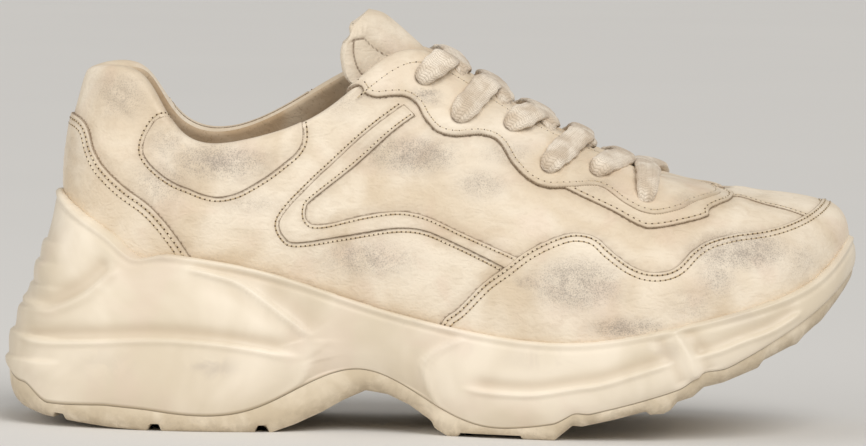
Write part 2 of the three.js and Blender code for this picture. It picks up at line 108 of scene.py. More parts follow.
EDGE = [
    [-130, 0, 128], [-113, -21.5, 127.5], [-94.5, -29.5, 106], [-70, -31.5, 103.5],
    [-43, -29.5, 114], [-22.5, -24.5, 131], [-3, -17, 137], [24, -13.5, 120.5], [50, -12, 106.5],
    [70.5, -9, 95.6], [79, 0, 93.4], [70.5, 9, 95.6], [50, 12, 106.5], [24, 13.5, 120.5],
    [-3, 17, 137], [-22, 24.5, 134], [-42, 29, 123], [-70, 31, 107], [-95.5, 29, 109.5],
    [-114, 21.5, 128.5],
]
PADDING = [10, 9.5, 8, 7, 6, 4.5, 3, 2.4, 2.4, 2.4, 2.4, 2.4, 2.4, 2.4, 3, 4.5, 6, 7, 8, 9.5]
CUP = [
    [-140, 0, 85], [-132, -26.5, 78], [-105, -39, 66], [-66, -42.5, 59.5], [-28, -45, 48.5],
    [9, -50, 39.5], [48, -56, 35.5], [85, -56.5, 41], [118, -49.5, 49.5], [143, -31.5, 60.5],
    [154.8, 4, 72.5], [149.5, 27, 63], [132, 42.5, 52.5], [104, 50, 44.5], [70, 53, 38],
    [29, 46.5, 38.5], [-11, 40, 46], [-51, 39.5, 57], [-97, 38.5, 66], [-130.5, 26, 78],
]
BELLY_LOW = [
    [-159, 0, 32], [-150.5, -33, 27], [-112, -52, 22], [-68, -53, 22], [-27, -46, 30],
    [13, -55, 14], [51, -62.5, 15], [88, -62.5, 22.5], [121, -52.5, 34.5], [145.5, -33, 51],
    [157, 4, 62.5], [151.5, 28, 55.5], [133, 46, 42], [105, 55, 29], [71, 58, 18], [28, 51, 13],
    [-11, 41, 28], [-51, 43.5, 22], [-98, 48, 22], [-146, 32, 27],
]
BELLY_HIGH = [
    [-141, 0, 62], [-136.5, -30, 57], [-109, -44, 50], [-67, -47, 44], [-28, -46.5, 40],
    [11, -52.5, 30], [50, -59.5, 26.5], [87, -60.5, 32], [120, -52, 42], [144.5, -33.5, 55],
    [156.8, 4, 68.5], [151, 28.5, 59.5], [133, 45, 47.5], [105, 53, 37], [71, 56, 29],
    [29, 49, 29.5], [-11, 41, 38], [-51, 42, 44], [-99, 43, 50], [-138, 29.5, 58],
]
JOINT = [
    [-156, 0, 22], [-149, -30, 14.5], [-110, -47, 8.5], [-66, -47.5, 8.5], [-26, -42.5, 24],
    [13, -50, 6.5], [51, -58.5, 10.5], [88, -59, 18.5], [121, -50, 35], [144.5, -31, 51],
    [155.5, 4, 60.5], [150.5, 26, 54.5], [132.5, 43, 42.5], [105, 51.5, 26.5], [71, 54.5, 12.5],
    [28, 47.5, 6.5], [-11, 39, 20], [-50, 39, 12], [-97, 43, 8], [-145, 29, 14],
]
TREAD = [
    [-153, 0], [-145, -27.5], [-108, -44.5], [-66, -45], [-26, -39], [13, -47.5], [51, -56],
    [88, -56], [119, -47], [142, -29], [153, 4], [148, 24], [130.5, 40], [104, 48.5], [71, 52],
    [28, 45], [-11, 35.5], [-50, 36], [-95, 40.5], [-141, 26.5],
]
EYELETS = [(-5.5, 129), (8, 115.5), (27, 112), (41, 97.5), (59, 95.5), (77, 87)]
EYELET_RADIUS = 2.3
# Tongue sections from the fixed end up: centre x and z, edge x, half width, edge z, thickness.
TONGUE = [
    [94, 86, 95, 19, 0, 2.4], [80, 88.8, 80, 21, 0, 2.8], [66, 94.8, 64, 22.5, 0, 3],
    [52, 104, 48, 23.5, 0, 3], [38, 112, 32, 24.5, 0, 3], [24, 120.5, 16, 24, 0, 3.4],
    [11, 128.5, -1, 20, 0, 4], [0, 136, -18, 18, 124, 5], [-8, 142, -31, 18.5, 127, 7],
    [-15, 147.5, -34, 19, 134, 9], [-20.5, 151.5, -33, 18, 142, 9], [-25.5, 152.8, -31, 14, 147.5, 6],
]
# Tread grooves: x, width, turn in degrees, depth.
GROOVES = [(-131, 4, -8, 2.2), (-97.6, 4, -4, 2.6), (-64, 4, 3, 2.6), (27, 23, -6, 1.4)]

# Panel edges on the outer side, (x, z) of the last; the inner side mirrors them by column.
# (None, z) is on the middle of the heel, (x, MIDDLE) on the middle line over the toes, and
# (x, OVER) over the rolled opening edge.
MIDDLE = "middle"
OVER = "over"
COUNTER_SEAM = [
    (None, 113.5), (-132, 112.5), (-129, 110.5), (-127, 107), (-125.5, 102), (-123, 97),
    (-119, 92.5), (-113, 87.5), (-105.5, 82.5), (-100, 77.5), (-94.5, 71), (-89, 63), (-86, 58),
]
COLLAR_SEAM = [
    (-98, OVER), (-101.5, 113.5), (-105.5, 109), (-107.5, 103), (-106, 98), (-97, 90.5),
    (-91, 88), (-81.5, 85), (-73.5, 86), (-65, 90.5), (-56, 97), (-50.5, 102), (-48.5, 107),
    (-48.5, OVER),
]
BAND_OUTER = [
    (-12, 120), (-29, 106.5), (-41, 95), (-50, 86), (-55.5, 79.5), (-57, 75), (-54.5, 70.5),
    (-50.5, 69), (-35, 71.5), (-19, 74.5), (-6, 75), (7, 70.5), (25.5, 62), (33, 57),
]
BAND_INNER = [
    (-7.5, 116), (-20, 106), (-34.5, 93), (-45, 84.5), (-47, 80.5), (-46, 77), (-42, 76),
    (-29, 79), (-15.5, 81.5), (-4.5, 80.5), (10, 74.5), (30.5, 66), (38, 62),
]
EYESTAY_EDGE = [
    (-33, OVER), (-29.5, 127), (-26.5, 123.5), (-21.5, 122), (-12, 122.5), (-7.5, 120), (-4.5, 115),
    (0.5, 110), (8, 108.5), (17.5, 109), (23, 106.5), (28, 99), (34.5, 93), (41, 90.5),
    (49, 90.5), (60, 90.5), (68, 85.5), (75, 82), (82, 81), (91, 83), (96.5, 85.5), (98, MIDDLE),
]
UNDERLAY_EDGE = [
    (44, 92), (50.5, 89), (64, 83), (75, 77.5), (80.5, 76.8), (91, 78.5), (100, 81), (103, 84.5),
    (104, MIDDLE),
]
GUARD_EDGE = [
    (0, 36), (3, 41), (9, 47), (17.5, 56), (26, 62.5), (34, 68.5), (44.5, 73.5), (52, 75),
    (59, 73.5), (64.5, 69), (72.5, 63.5), (80, 61.5), (87.5, 63), (94, 69), (100, 72.5),
    (110, 75), (121.5, 76.5), (131, 79), (138, 82), (143, MIDDLE),
]
# Vamp strip over the toes, (x, half width).
STRIP_EDGE = [(98, 13), (108, 14), (120, 16), (130, 18), (138, 18), (142, 11), (143.5, 0)]

# Creases: plane, side (-1 outer, 1 inner, 0 both), points, height, half width.
CREASES = [
    ("side", -1, [(-125, 121), (-117, 116), (-111, 109)], -0.7, 2.4),
    ("side", -1, [(-120, 124.5), (-111, 119.5)], -0.5, 1.8),
    ("side", -1, [(-128, 104), (-121, 101), (-113, 96)], 0.5, 3.2),
    ("side", -1, [(-100, 84), (-90, 80), (-78, 79)], 0.5, 3.5),
    ("side", -1, [(-84, 74), (-72, 71), (-62, 72)], -0.5, 3.4),
    ("side", -1, [(-38, 108), (-30, 116), (-27, 120)], -0.4, 2.4),
    ("side", -1, [(8, 98), (20, 88), (34, 80)], 0.5, 4.5),
    ("side", -1, [(44, 84), (56, 80), (66, 76)], -0.5, 3.2),
    ("side", -1, [(52, 60), (64, 52), (74, 44)], -0.7, 3.6),
    ("side", -1, [(60, 63), (71, 56), (82, 46)], 0.5, 3.2),
    ("side", -1, [(36, 52), (46, 48), (58, 40)], -0.4, 3.4),
    ("side", 1, [(-122, 118), (-113, 110), (-104, 103)], -0.6, 2.4),
    ("side", 1, [(-92, 82), (-76, 78), (-60, 80)], -0.5, 3.2),
    ("side", 1, [(-30, 92), (-14, 84), (4, 80)], 0.6, 4),
    ("side", 1, [(46, 82), (58, 74), (66, 62)], -0.7, 3.2),
    ("side", 1, [(56, 84), (70, 74), (78, 62)], 0.5, 3.2),
    ("top", 0, [(108, -26), (106, -10), (107, 8), (111, 27)], -0.7, 3.2),
    ("top", 0, [(115, -30), (113, -12), (113, 8), (117, 28)], 0.45, 3.4),
    ("top", 0, [(123, -22), (121, -6), (122, 12)], -0.35, 3),
]

# Scuffs and dust: side (-1 outer, 1 inner, 0 both), x, z, half length, half height, strength.
SCUFFS = [
    (-1, -116, 121, 11, 9, 0.5), (-1, -99, 105, 8, 8, 0.45), (-1, -79, 98, 17, 6.5, 0.85),
    (-1, -100, 90, 12, 9, 0.5), (-1, -67, 83, 13, 4, 0.35), (-1, -3.5, 123, 5.5, 2.6, 0.9),
    (-1, -9, 102, 17, 6.5, 0.8), (-1, 17, 92, 10, 5.5, 0.5), (-1, -25, 64, 18, 7, 0.6),
    (-1, -36, 121, 9, 6, 0.4), (-1, 52, 57, 16, 9, 0.8), (-1, 71, 41.5, 13, 3.6, 0.9),
    (-1, 112, 69.5, 17, 6.5, 0.95), (-1, 103, 60, 8, 9, 0.5), (-1, 35, 57.5, 5, 2, 0.8),
    (-1, 95, 50, 11, 8, 0.35), (-1, 26, 103, 12, 5, 0.4), (-1, 60, 92, 10, 3.5, 0.35),
    (-1, 134, 66, 8, 9, 0.4), (-1, 92, 87, 5, 3, 0.4), (0, -133, 100, 5, 9, 0.3),
    (1, -112, 112, 12, 9, 0.5), (1, -84, 92, 15, 8, 0.6), (1, -50, 74, 16, 7, 0.5),
    (1, -6, 96, 16, 8, 0.6), (1, 20, 62, 16, 8, 0.5), (1, 58, 52, 18, 8, 0.8),
    (1, 104, 66, 16, 7, 0.8), (1, 84, 46, 12, 4, 0.7), (1, 128, 70, 9, 8, 0.5),
]

# Moulded lines of the midsole, (x, z).
SCOOP_RIDGE = [(-154, 45), (-147, 43.5), (-140, 42.5), (-131, 46), (-123.5, 51), (-114.5, 60)]
BELT = [(-158, 34), (-150, 31.5), (-143.5, 30.5), (-125, 31.5), (-99, 33), (-75, 31.5), (-53, 28),
        (-46, 26.5)]
UPPER_PAD = [(-92, 59.5), (-81, 57), (-70, 53.5), (-55, 43), (-49, 38.5), (-45.5, 35), (-46, 31.5)]
LOWER_PAD = [(-47, 27), (-45.5, 24), (-49, 17.5), (-60, 9.5)]
FORE_PAD = [(12, 37), (9, 35), (2.5, 31.5), (-1, 28.5), (-3, 24.5), (-0.5, 16.5), (3, 11), (7, 6)]
FORE_BELT = [(10, 18), (20, 16.8), (36, 16.5), (51, 19), (62, 21), (76, 25.5), (90, 30)]
RIB = [(86, 42), (92, 33), (97, 23)]
FRONT_BELT = [(94, 31), (104, 33.5), (113, 37), (124, 41), (136, 48)]
HEEL_STEPS = [66, 58.5, 50.5, 42, 33, 24]  # the back steps out below each


def linear(code):
    """Linear colour of an sRGB hex value such as 'F1E8D4'."""
    parts = [int(code[i:i + 2], 16) / 255 for i in (0, 2, 4)]
    return [c / 12.92 if c <= 0.04045 else ((c + 0.055) / 1.055) ** 2.4 for c in parts] + [1.0]


def blend(edge_0, edge_1, x):
    """Smooth step from 0 to 1 between two values."""
    f = np.clip((x - edge_0) / (edge_1 - edge_0), 0, 1)
    return f * f * (3 - 2 * f)


def unit(v):
    return v / np.maximum(np.linalg.norm(v, axis=-1, keepdims=True), 1e-9)


def closed_spline(points):
    """Controls of the closed cubic spline through the points."""
    p = np.array(points, float)
    if p.ndim == 1:
        p = p[:, None]
    eye = np.eye(len(p))
    return np.linalg.solve((4 * eye + np.roll(eye, 1, 0) + np.roll(eye, -1, 0)) / 6, p)


def spline_at(controls, s):
    """Points of a closed spline at columns s."""
    s = np.asarray(s, float)
    i = np.floor(s).astype(int)
    f = (s - i)[..., None]
    weights = (
        (1 - f) ** 3 / 6,
        (3 * f ** 3 - 6 * f ** 2 + 4) / 6,
        (-3 * f ** 3 + 3 * f ** 2 + 3 * f + 1) / 6,
        f ** 3 / 6,
    )
    return sum(w * controls[(i + j - 1) % len(controls)] for j, w in enumerate(weights))


rim, wide, lower, handle = (closed_spline(t) for t in (RIM, WIDE, LOWER, UPPER))
edge, padding, cup, joint = (closed_spline(t) for t in (EDGE, PADDING, CUP, JOINT))
belly_low, belly_high, tread = (closed_spline(t) for t in (BELLY_LOW, BELLY_HIGH, TREAD))


# Rise of the joint line over its plain sweep, (x, z), on the outer side and round the heel.
JOINT_WAVES = [
    (-152, 0), (-149, 1.2), (-142, -3.8), (-136, -3.2), (-120, -0.8), (-104, 0), (13, -0.6), (30, -1.4),
    (45, -2.8), (48.5, -1.8), (52, -0.4), (57, -2), (66, -1.3), (80, 0), (91.5, 0.6), (95, 2), (99, 3.3),
    (103, 1.8), (107, 0.4), (118, 0),
]


def joint_at(s):
    """Joint line of midsole and outsole, with its waves."""
    p = spline_at(joint, s)
    x, y = p[..., 0], p[..., 1]
    rise = sum(height_at(JOINT_WAVES, x + d) for d in (-1.2, 0, 1.2)) / 3
    return p + np.stack([0 * x, 0 * x, rise * np.where((y < 0) | (x < 0), 1, 0)], -1)


def cup_at(s):
    """Lip of the midsole, dipping where the heel scoop meets it."""
    p = spline_at(cup, s)
    dip = 4.5 * np.exp(-((p[..., 0] + 110) / 8) ** 2)
    return p - np.stack([0 * dip, 0 * dip, dip], -1)


def height_at(table, x):
    xs, zs = zip(*table)
    return np.interp(x, xs, zs)


def bed_at(x):
    """Foot bed height with the corners of its table rounded off."""
    return (height_at(BED, x - 9) + 2 * height_at(BED, x) + height_at(BED, x + 9)) / 4


def bezier(v, a, b, c, d):
    v = np.asarray(v)[..., None]
    return (1 - v) ** 3 * a + 3 * v * (1 - v) ** 2 * b + 3 * v ** 2 * (1 - v) * c + v ** 3 * d


def wall_point(s, v):
    """Outside of the upper at columns s and height shares v from -1 to 1."""
    s, v = np.broadcast_arrays(np.asarray(s, float), np.asarray(v, float))
    w = spline_at(wide, s)
    high = bezier(np.clip(v, 0, 1), w, spline_at(lower, s), spline_at(handle, s), spline_at(edge, s))
    foot = spline_at(rim, s)
    z = bed_at(foot[..., 0]) + GAP
    foot = np.stack([foot[..., 0], foot[..., 1], z], -1)
    knee = np.stack([w[..., 0], w[..., 1], z + 0.4 * (w[..., 2] - z)], -1)
    f = np.clip(v + 1, 0, 1)[..., None]
    low = (1 - f) ** 2 * foot + 2 * f * (1 - f) * knee + f ** 2 * w
    return np.where(v[..., None] < 0, low, high)


def wall_normal(s, v):
    d = 0.02
    along = wall_point(s + d, v) - wall_point(s - d, v)
    up = wall_point(s, np.minimum(1, v + d)) - wall_point(s, np.maximum(-1, v - d))
    return unit(np.cross(along, up))


def wall_thickness(s, v):
    return WALL + (spline_at(padding, s)[..., 0] - WALL) * blend(0.5, 0.9, v)


def curve(points, step=0.8, closed=False):
    """Smooth open curve through a few points, as points about a step apart."""
    p = np.array(points, float)
    ends = (p[-1:], p[:1]) if closed else (2 * p[:1] - p[1:2], 2 * p[-1:] - p[-2:-1])
    q = np.concatenate([ends[0], p, ends[1]] + ([p[1:2]] if closed else []))
    out = []
    for i in range(1, len(q) - 2):
        a, b, c, d = q[i - 1:i + 3]
        count = max(2, int(np.linalg.norm(c - b) / step))
        t = (np.arange(count) / count)[:, None]
        out.append(b + 0.5 * t * (c - a) + t ** 2 * (a - 2.5 * b + 2 * c - 0.5 * d)
                   + t ** 3 * (-0.5 * a + 1.5 * b - 1.5 * c + 0.5 * d))
    if not closed:
        out.append(p[-1:])
    return np.concatenate(out)


def beside(points, line):
    """Distance of plan points to a line, the side it is on (+ left) and the share along the line."""
    a, d = line[:-1], line[1:] - line[:-1]
    size = (d * d).sum(-1)
    out = np.empty((len(points), 3))
    for first in range(0, len(points), 8000):
        q = points[first:first + 8000, None]
        t = np.clip(((q - a) * d).sum(-1) / size, 0, 1)
        off = q - a - t[..., None] * d
        far = np.hypot(off[..., 0], off[..., 1])
        k = far.argmin(1)
        row = np.arange(len(k))
        side = d[k, 0] * off[row, k, 1] - d[k, 1] * off[row, k, 0]
        out[first:first + 8000] = np.stack(
            [far[row, k], np.where(side < 0, -1, 1), (k + t[row, k]) / len(d)], -1)
    return out[:, 0], out[:, 1], out[:, 2]


def relief(p):
    """Height of the listed creases over the plain last at points p."""
    flat = p.reshape(-1, 3)
    total = np.zeros(len(flat))
    for plane, side, points, height, half in CREASES:
        line = curve(points, 3)
        axes = (0, 2) if plane == "side" else (0, 1)
        lo, hi = line.min(0) - 3 * half, line.max(0) + 3 * half
        q = flat[:, axes]
        near = ((q > lo) & (q < hi)).all(1)
        if plane == "side":
            near &= flat[:, 1] * side > 8
        else:
            near &= flat[:, 2] > 60
        if not near.any():
            continue
        far, _, share = beside(q[near], line)
        ends = blend(0, 0.3, share) * blend(0, 0.3, 1 - share)
        total[near] += height * ends * np.exp(-(far / half) ** 2)
    x, y, z = flat.T
    soft = 0.35 * np.sin(x / 13 + 1.3 * np.sin(z / 17)) * np.sin(z / 9.5 + x / 41 + np.sign(y))
    total += soft * blend(20, 40, z)
    return total.reshape(p.shape[:-1])


def surface(s, v, height=0.0):
    """Outside of the worn upper, rolled edge included, at a height above the leather."""
    s, v, height = np.broadcast_arrays(*(np.asarray(a, float) for a in (s, v, height)))
    level = np.minimum(v, 1)
    p, n = wall_point(s, level), wall_normal(s, level)
    turn = np.clip((v - 1) / ROLL, 0, 1) * math.pi
    half = wall_thickness(s, np.ones_like(s))[..., None] / 2
    up = unit(wall_point(s, np.ones_like(s)) - wall_point(s, np.full_like(s, 0.96)))
    c, d = np.cos(turn)[..., None], np.sin(turn)[..., None]
    rolled = p + n * (half * (c - 1)) + up * (0.8 * half * d)
    facing = unit(n * c + up * d)
    return rolled + facing * (height + relief(p) * blend(1, 0.94, v))[..., None]


def facing_at(s, v):
    """Outward direction of the worn upper."""
    d = 0.012
    along = surface(s + d, v) - surface(s - d, v)
    up = surface(s, v + d * 0.3) - surface(s, v - d * 0.3)
    return unit(np.cross(along, up))


def inside(s, v):
    """Lining side of the upper's wall."""
    return wall_point(s, v) - wall_normal(s, v) * wall_thickness(s, v)[..., None]


GRID_S, GRID_V = np.meshgrid(np.arange(0, 10.001, 0.05), np.arange(-0.2, 1.001, 0.02), indexing="ij")
GRID = wall_point(GRID_S, GRID_V)


def columns_at(points, axes=(0, 2)):
    """Columns and height shares of outer-side points known by two coordinates."""
    target = np.atleast_2d(np.array(points, float))
    flat = GRID.reshape(-1, 3)[:, axes]
    near = [((flat - q) ** 2).sum(1).argmin() for q in target]
    s, v = GRID_S.ravel()[near], GRID_V.ravel()[near]
    for _ in range(12):
        at = wall_point(s, v)[:, axes]
        by_s = (wall_point(s + 0.01, v)[:, axes] - at) / 0.01
        by_v = (wall_point(s, v + 0.01)[:, axes] - at) / 0.01
        gap = target - at
        scale = by_s[:, 0] * by_v[:, 1] - by_s[:, 1] * by_v[:, 0]
        scale = np.where(np.abs(scale) < 40, np.sign(scale) * 40 + (scale == 0) * 40, scale)
        s = np.clip(s + np.clip((gap[:, 0] * by_v[:, 1] - gap[:, 1] * by_v[:, 0]) / scale, -0.3, 0.3), 0, 10)
        step = np.clip((gap[:, 1] * by_s[:, 0] - gap[:, 0] * by_s[:, 1]) / scale, -0.05, 0.05)
        v = np.clip(v + step, -0.2, 1)
    return np.stack([s, v], -1)


def middle_share(s, axis, value):
    """Height share on a column where one coordinate has a value, from the top down."""
    v = np.linspace(1, 0, 400)
    line = wall_point(np.full_like(v, s), v)[:, axis]
    return v[np.abs(line - value).argmin()]


def trace(points):
    """Panel edge as columns and height shares, through its typed points."""
    spots = []
    for x, z in points:
        if x is None:
            spots.append([0, middle_share(0, 2, z)])
        elif z == MIDDLE:
            spots.append([10, middle_share(10, 0, x)])
        elif z == OVER:
            s = np.linspace(0.5, 9.5, 900)
            spots.append([s[np.abs(spline_at(edge, s)[:, 0] - x).argmin()], 1 + ROLL * 0.6])
        else:
            spots.append(list(columns_at([(x, z)])[0]))
    return curve(np.array(spots) * PLAN, 0.8) / PLAN


PLAN = np.array([26.0, 75.0])  # about one millimetre in columns and in height share


def across(line, gap):
    """A line moved sideways over the surface, to its left, by a gap in millimetres."""
    s, v = line.T
    p = surface(s, v)
    along = unit(np.gradient(p, axis=0))
    side = np.cross(facing_at(s, v), along) * gap
    d = 0.01
    by_s = (surface(s + d, v) - surface(s - d, v)) / (2 * d)
    by_v = (surface(s, v + d) - surface(s, v - d)) / (2 * d)
    a, b, c = ((x * y).sum(-1) for x, y in ((by_s, by_s), (by_s, by_v), (by_v, by_v)))
    e, f = ((x * side).sum(-1) for x in (by_s, by_v))
    det = np.maximum(a * c - b * b, 1e-6)
    return line + np.stack([(e * c - f * b) / det, (f * a - e * b) / det], -1)


def within(points, polygon):
    """Which plan points lie inside a closed polygon."""
    x, y = points.T
    out = np.zeros(len(points), bool)
    for (x0, y0), (x1, y1) in zip(polygon, np.roll(polygon, -1, 0)):
        if y0 != y1:
            out ^= ((y0 > y) != (y1 > y)) & (x < (x1 - x0) * (y - y0) / (y1 - y0) + x0)
    return out


def tree_of(points):
    tree = KDTree(len(points))
    for i, p in enumerate(points):
        tree.insert(p, i)
    tree.balance()
    return tree


def distances(points, tree):
    return np.array([tree.find(p)[2] for p in points])


def grime_at(p):
    """Share of scuff and dust at points of the upper."""
    total = np.zeros(len(p))
    for side, x, z, long, high, strength in SCUFFS:
        far = np.hypot((p[:, 0] - x) / long, (p[:, 2] - z) / high)
        here = strength * blend(1.7, 0, far)
        if side:
            here = here * (p[:, 1] * side > 0)
        total = np.maximum(total, here)
    return total


def make_piece(name, points, faces, material, values=None, uv=None, slots=None):
    """Mesh object from points in millimetres; faces are rows of three or of four numbers."""
    mesh = bpy.data.meshes.new(name)
    co = (np.asarray(points) - CENTRE) * MM
    mesh.vertices.add(len(co))
    mesh.vertices.foreach_set("co", co.ravel())
    groups = faces if isinstance(faces, list) else [faces]
    corners = np.concatenate([np.asarray(g).ravel() for g in groups])
    totals = np.concatenate([np.full(len(g), np.asarray(g).shape[1]) for g in groups])
    mesh.loops.add(len(corners))
    mesh.loops.foreach_set("vertex_index", corners)
    mesh.polygons.add(len(totals))
    mesh.polygons.foreach_set("loop_start", np.cumsum(totals) - totals)
    mesh.polygons.foreach_set("loop_total", totals)
    mesh.polygons.foreach_set("use_smooth", np.ones(len(totals), bool))
    materials = material if isinstance(material, list) else [material]
    for m in materials:
        mesh.materials.append(m)
    if slots is not None:
        mesh.polygons.foreach_set("material_index", slots)
    mesh.update(calc_edges=True)
    for key, data in (values or {}).items():
        mesh.attributes.new(key, "FLOAT", "POINT").data.foreach_set("value", np.asarray(data, float))
    if uv is not None:
        layer = mesh.uv_layers.new(name="along")
        layer.data.foreach_set("uv", np.asarray(uv)[corners].ravel())
    piece = bpy.data.objects.new(name, mesh)
    bpy.context.scene.collection.objects.link(piece)
    return piece


def loft_faces(rows, columns, wraps=False):
    """Quads between rows of points round the shoe."""
    i = np.arange(columns)
    j = (i + 1) % columns
    r = np.arange(rows if wraps else rows - 1)[:, None] * columns
    above = (r + columns) % (rows * columns)
    return np.stack([r + i, r + j, above + j, above + i], -1).reshape(-1, 4)


def lid_faces(first, n, up):
    """Ladder of quads across one ring of points, closing it."""
    i = np.arange(1, n // 2 - 1)
    quads = np.stack([first + i, first + i + 1, first + n - i - 1, first + n - i], -1)
    half = n // 2
    ends = np.array([[first, first + 1, first + n - 1], [first + half - 1, first + half, first + half + 1]])
    return [quads if up else quads[:, ::-1], ends if up else ends[:, ::-1]]


def activate(piece):
    """Makes one piece the selected and active one."""
    bpy.ops.object.select_all(action="DESELECT")
    piece.select_set(True)
    bpy.context.view_layer.objects.active = piece


def hand_in(piece, slot, *nodes):
    """Lets a finished piece ride with the shoe and stand for its solids."""
    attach(piece, "root")
    if nodes:
        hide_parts(*nodes)


def resample(line, step, height=0.0):
    """Points of a surface line about a step apart, measured on the leather."""
    p = surface(line[:, 0], line[:, 1], height)
    run = np.concatenate([[0], np.cumsum(np.linalg.norm(np.diff(p, axis=0), axis=1))])
    at = np.linspace(0, run[-1], max(3, int(round(run[-1] / step)) + 1))
    return np.stack([np.interp(at, run, line[:, k]) for k in (0, 1)], -1)


def mirrored(line, heel=False):
    """The same edge on the inner side, walked the other way."""
    return np.stack([(0 if heel else STATIONS) - line[::-1, 0], line[::-1, 1]], -1)


EDGE_ROWS = (0.12, 0.35, 0.7, 1.2, 1.8, 2.6, 3.6)


def rounded(d, radius=0.9):
    """Share of its thickness that a folded leather edge has at a distance from the edge."""
    return np.sqrt(np.clip(1 - (1 - np.clip(d / radius, 0, 1)) ** 2, 0, 1))


def panel_points(outline, tree, holes, cell):
    """Points inside a panel: rows along its edge, rings round its holes and an even field."""
    padded = np.concatenate([outline[-3:], outline, outline[:3]])
    found = []
    for d in EDGE_ROWS:
        row = across(padded, d)[3:-3]
        far = distances(surface(*row.T), tree)
        found.append(row[(far > 0.86 * d) & within(row, outline)])
    lo, hi = outline.min(0), outline.max(0)
    steps = cell / PLAN
    s, v = np.meshgrid(np.arange(lo[0], hi[0], steps[0]), np.arange(lo[1], hi[1], steps[1]))
    s[1::2] += steps[0] / 2
    field = np.stack([s.ravel(), v.ravel()], -1)
    field = field[within(field, outline)]
    far = distances(surface(*field.T), tree)
    found.append(field[far > EDGE_ROWS[-1] + 0.7])
    points = np.concatenate(found)
    loops = []
    for spot in holes:
        centre = surface(*spot)
        far = np.linalg.norm(surface(*points.T) - centre, axis=1)
        points = points[far > EYELET_RADIUS + 1.9]
        for gap in (0.25, 0.6, 1.2):
            points = np.concatenate([points, circle(spot, EYELET_RADIUS + gap)])
        loops.append(circle(spot, EYELET_RADIUS))
    return points, loops


def circle(spot, radius, count=26):
    """Columns and height shares on a circle round a spot of the leather."""
    turn = np.arange(count) * 2 * math.pi / count
    s, v = spot
    d = 0.01
    by_s = (surface(s + d, v) - surface(s - d, v)) / (2 * d)
    by_v = (surface(s, v + d) - surface(s, v - d)) / (2 * d)
    one = unit(by_s)
    other = np.cross(facing_at(s, v), one)
    lean = by_v @ one / np.linalg.norm(by_s)
    rise = radius * np.sin(turn) / (by_v @ other)
    return np.stack([s + radius * np.cos(turn) / np.linalg.norm(by_s) - rise * lean, v + rise], -1)


def make_panel(name, outline, thickness, material, base=0.0, puff=0.0, holes=(), cell=2.2):
    """Leather panel with rounded edges lying on the upper, closed underneath."""
    outline = resample(np.concatenate([outline, outline[:1]]), 1.0)[:-1]
    if within(across(np.concatenate([outline[-3:], outline[:4]]), 0.3)[4:5], outline).sum() == 0:
        outline = outline[::-1]
    fine = resample(np.concatenate([outline, outline[:1]]), 0.35)
    tree = tree_of(surface(*fine.T))
    points, loops = panel_points(outline, tree, holes, cell)
    corners, edges = [points], []
    count = len(points)
    for loop in [outline] + loops:
        i = np.arange(len(loop))
        edges += [(int(a), int(b)) for a, b in zip(count + i, count + (i + 1) % len(loop))]
        corners.append(loop)
        count += len(loop)
    flat = [Vector(p) for p in (np.concatenate(corners) * PLAN).tolist()]
    verts, _, faces = delaunay_2d_cdt(flat, edges, [], 1, 1e-5)[:3]
    spots = np.array([tuple(p) for p in verts]) / PLAN
    faces = np.array(faces)
    middles = spots[faces].mean(1)
    keep = within(middles, outline)
    ground = surface(*spots.T)
    rim_gap = np.full(len(spots), 99.0)
    for spot in holes:
        far = np.linalg.norm(surface(*middles.T) - surface(*spot), axis=1)
        keep &= far > EYELET_RADIUS
        rim_gap = np.minimum(rim_gap, np.linalg.norm(ground - surface(*spot), axis=1) - EYELET_RADIUS)
    faces = faces[keep]
    used = np.unique(faces)
    remap = np.full(len(spots), -1)
    remap[used] = np.arange(len(used))
    spots, faces, rim_gap = spots[used], remap[faces], np.maximum(0, rim_gap[used])
    area = np.cross(spots[faces[:, 1]] - spots[faces[:, 0]], spots[faces[:, 2]] - spots[faces[:, 0]])
    faces[area < 0] = faces[area < 0][:, ::-1]
    sides = np.concatenate([faces[:, [0, 1]], faces[:, [1, 2]], faces[:, [2, 0]]])
    pairs, times = np.unique(np.sort(sides, 1), axis=0, return_counts=True)
    border = np.zeros(len(spots), bool)
    border[pairs[times == 1]] = True
    far = distances(surface(*spots.T), tree)
    near = np.minimum(far, rim_gap)
    height = base + thickness * rounded(near) + puff * blend(0.5, 14, far)
    height -= 0.22 * np.exp(-((near - STITCH_INSET) / 0.45) ** 2)
    height[border] = -0.35
    top = surface(spots[:, 0], spots[:, 1], height)
    low = np.flatnonzero(~border)
    bottom = surface(spots[low, 0], spots[low, 1], -0.35)
    under = np.arange(len(spots))
    under[low] = len(spots) + np.arange(len(low))
    all_faces = np.concatenate([faces, under[faces][:, ::-1]])
    all_points = np.concatenate([top, bottom])
    index = np.concatenate([np.arange(len(spots)), low])
    # seam is the distance to the panel edge, for the seam dirt and the painted edge shadow; hole is the
    # distance to the eyelet rims, for the painted shade round them.
    values = {"seam": far[index], "grime": grime_at(all_points), "hole": rim_gap[index]}
    return make_piece(name, all_points, all_faces, material, values)


STITCH_INSET = 2.1
stitch_rows = []  # surface line, height, pitch


def sew(line, height, inset, pitch=2.4):
    """Notes one row of stitches beside an edge."""
    stitch_rows.append((across(line, inset), height, pitch))


def template(radius, length):
    """Points and faces of one small closed bead, long in X."""
    bpy.ops.mesh.primitive_uv_sphere_add(segments=6, ring_count=5, radius=1, rotation=(0, math.pi / 2, 0))
    bead = bpy.context.object
    bpy.ops.object.transform_apply(rotation=True)
    points = np.array([v.co[:] for v in bead.data.vertices])
    bead.data.calc_loop_triangles()
    faces = np.array([t.vertices[:] for t in bead.data.loop_triangles])
    bpy.data.objects.remove(bead)
    points[:, 0] = np.sign(points[:, 0]) * np.abs(points[:, 0]) ** 0.55
    return points * [length / 2, radius, radius], faces


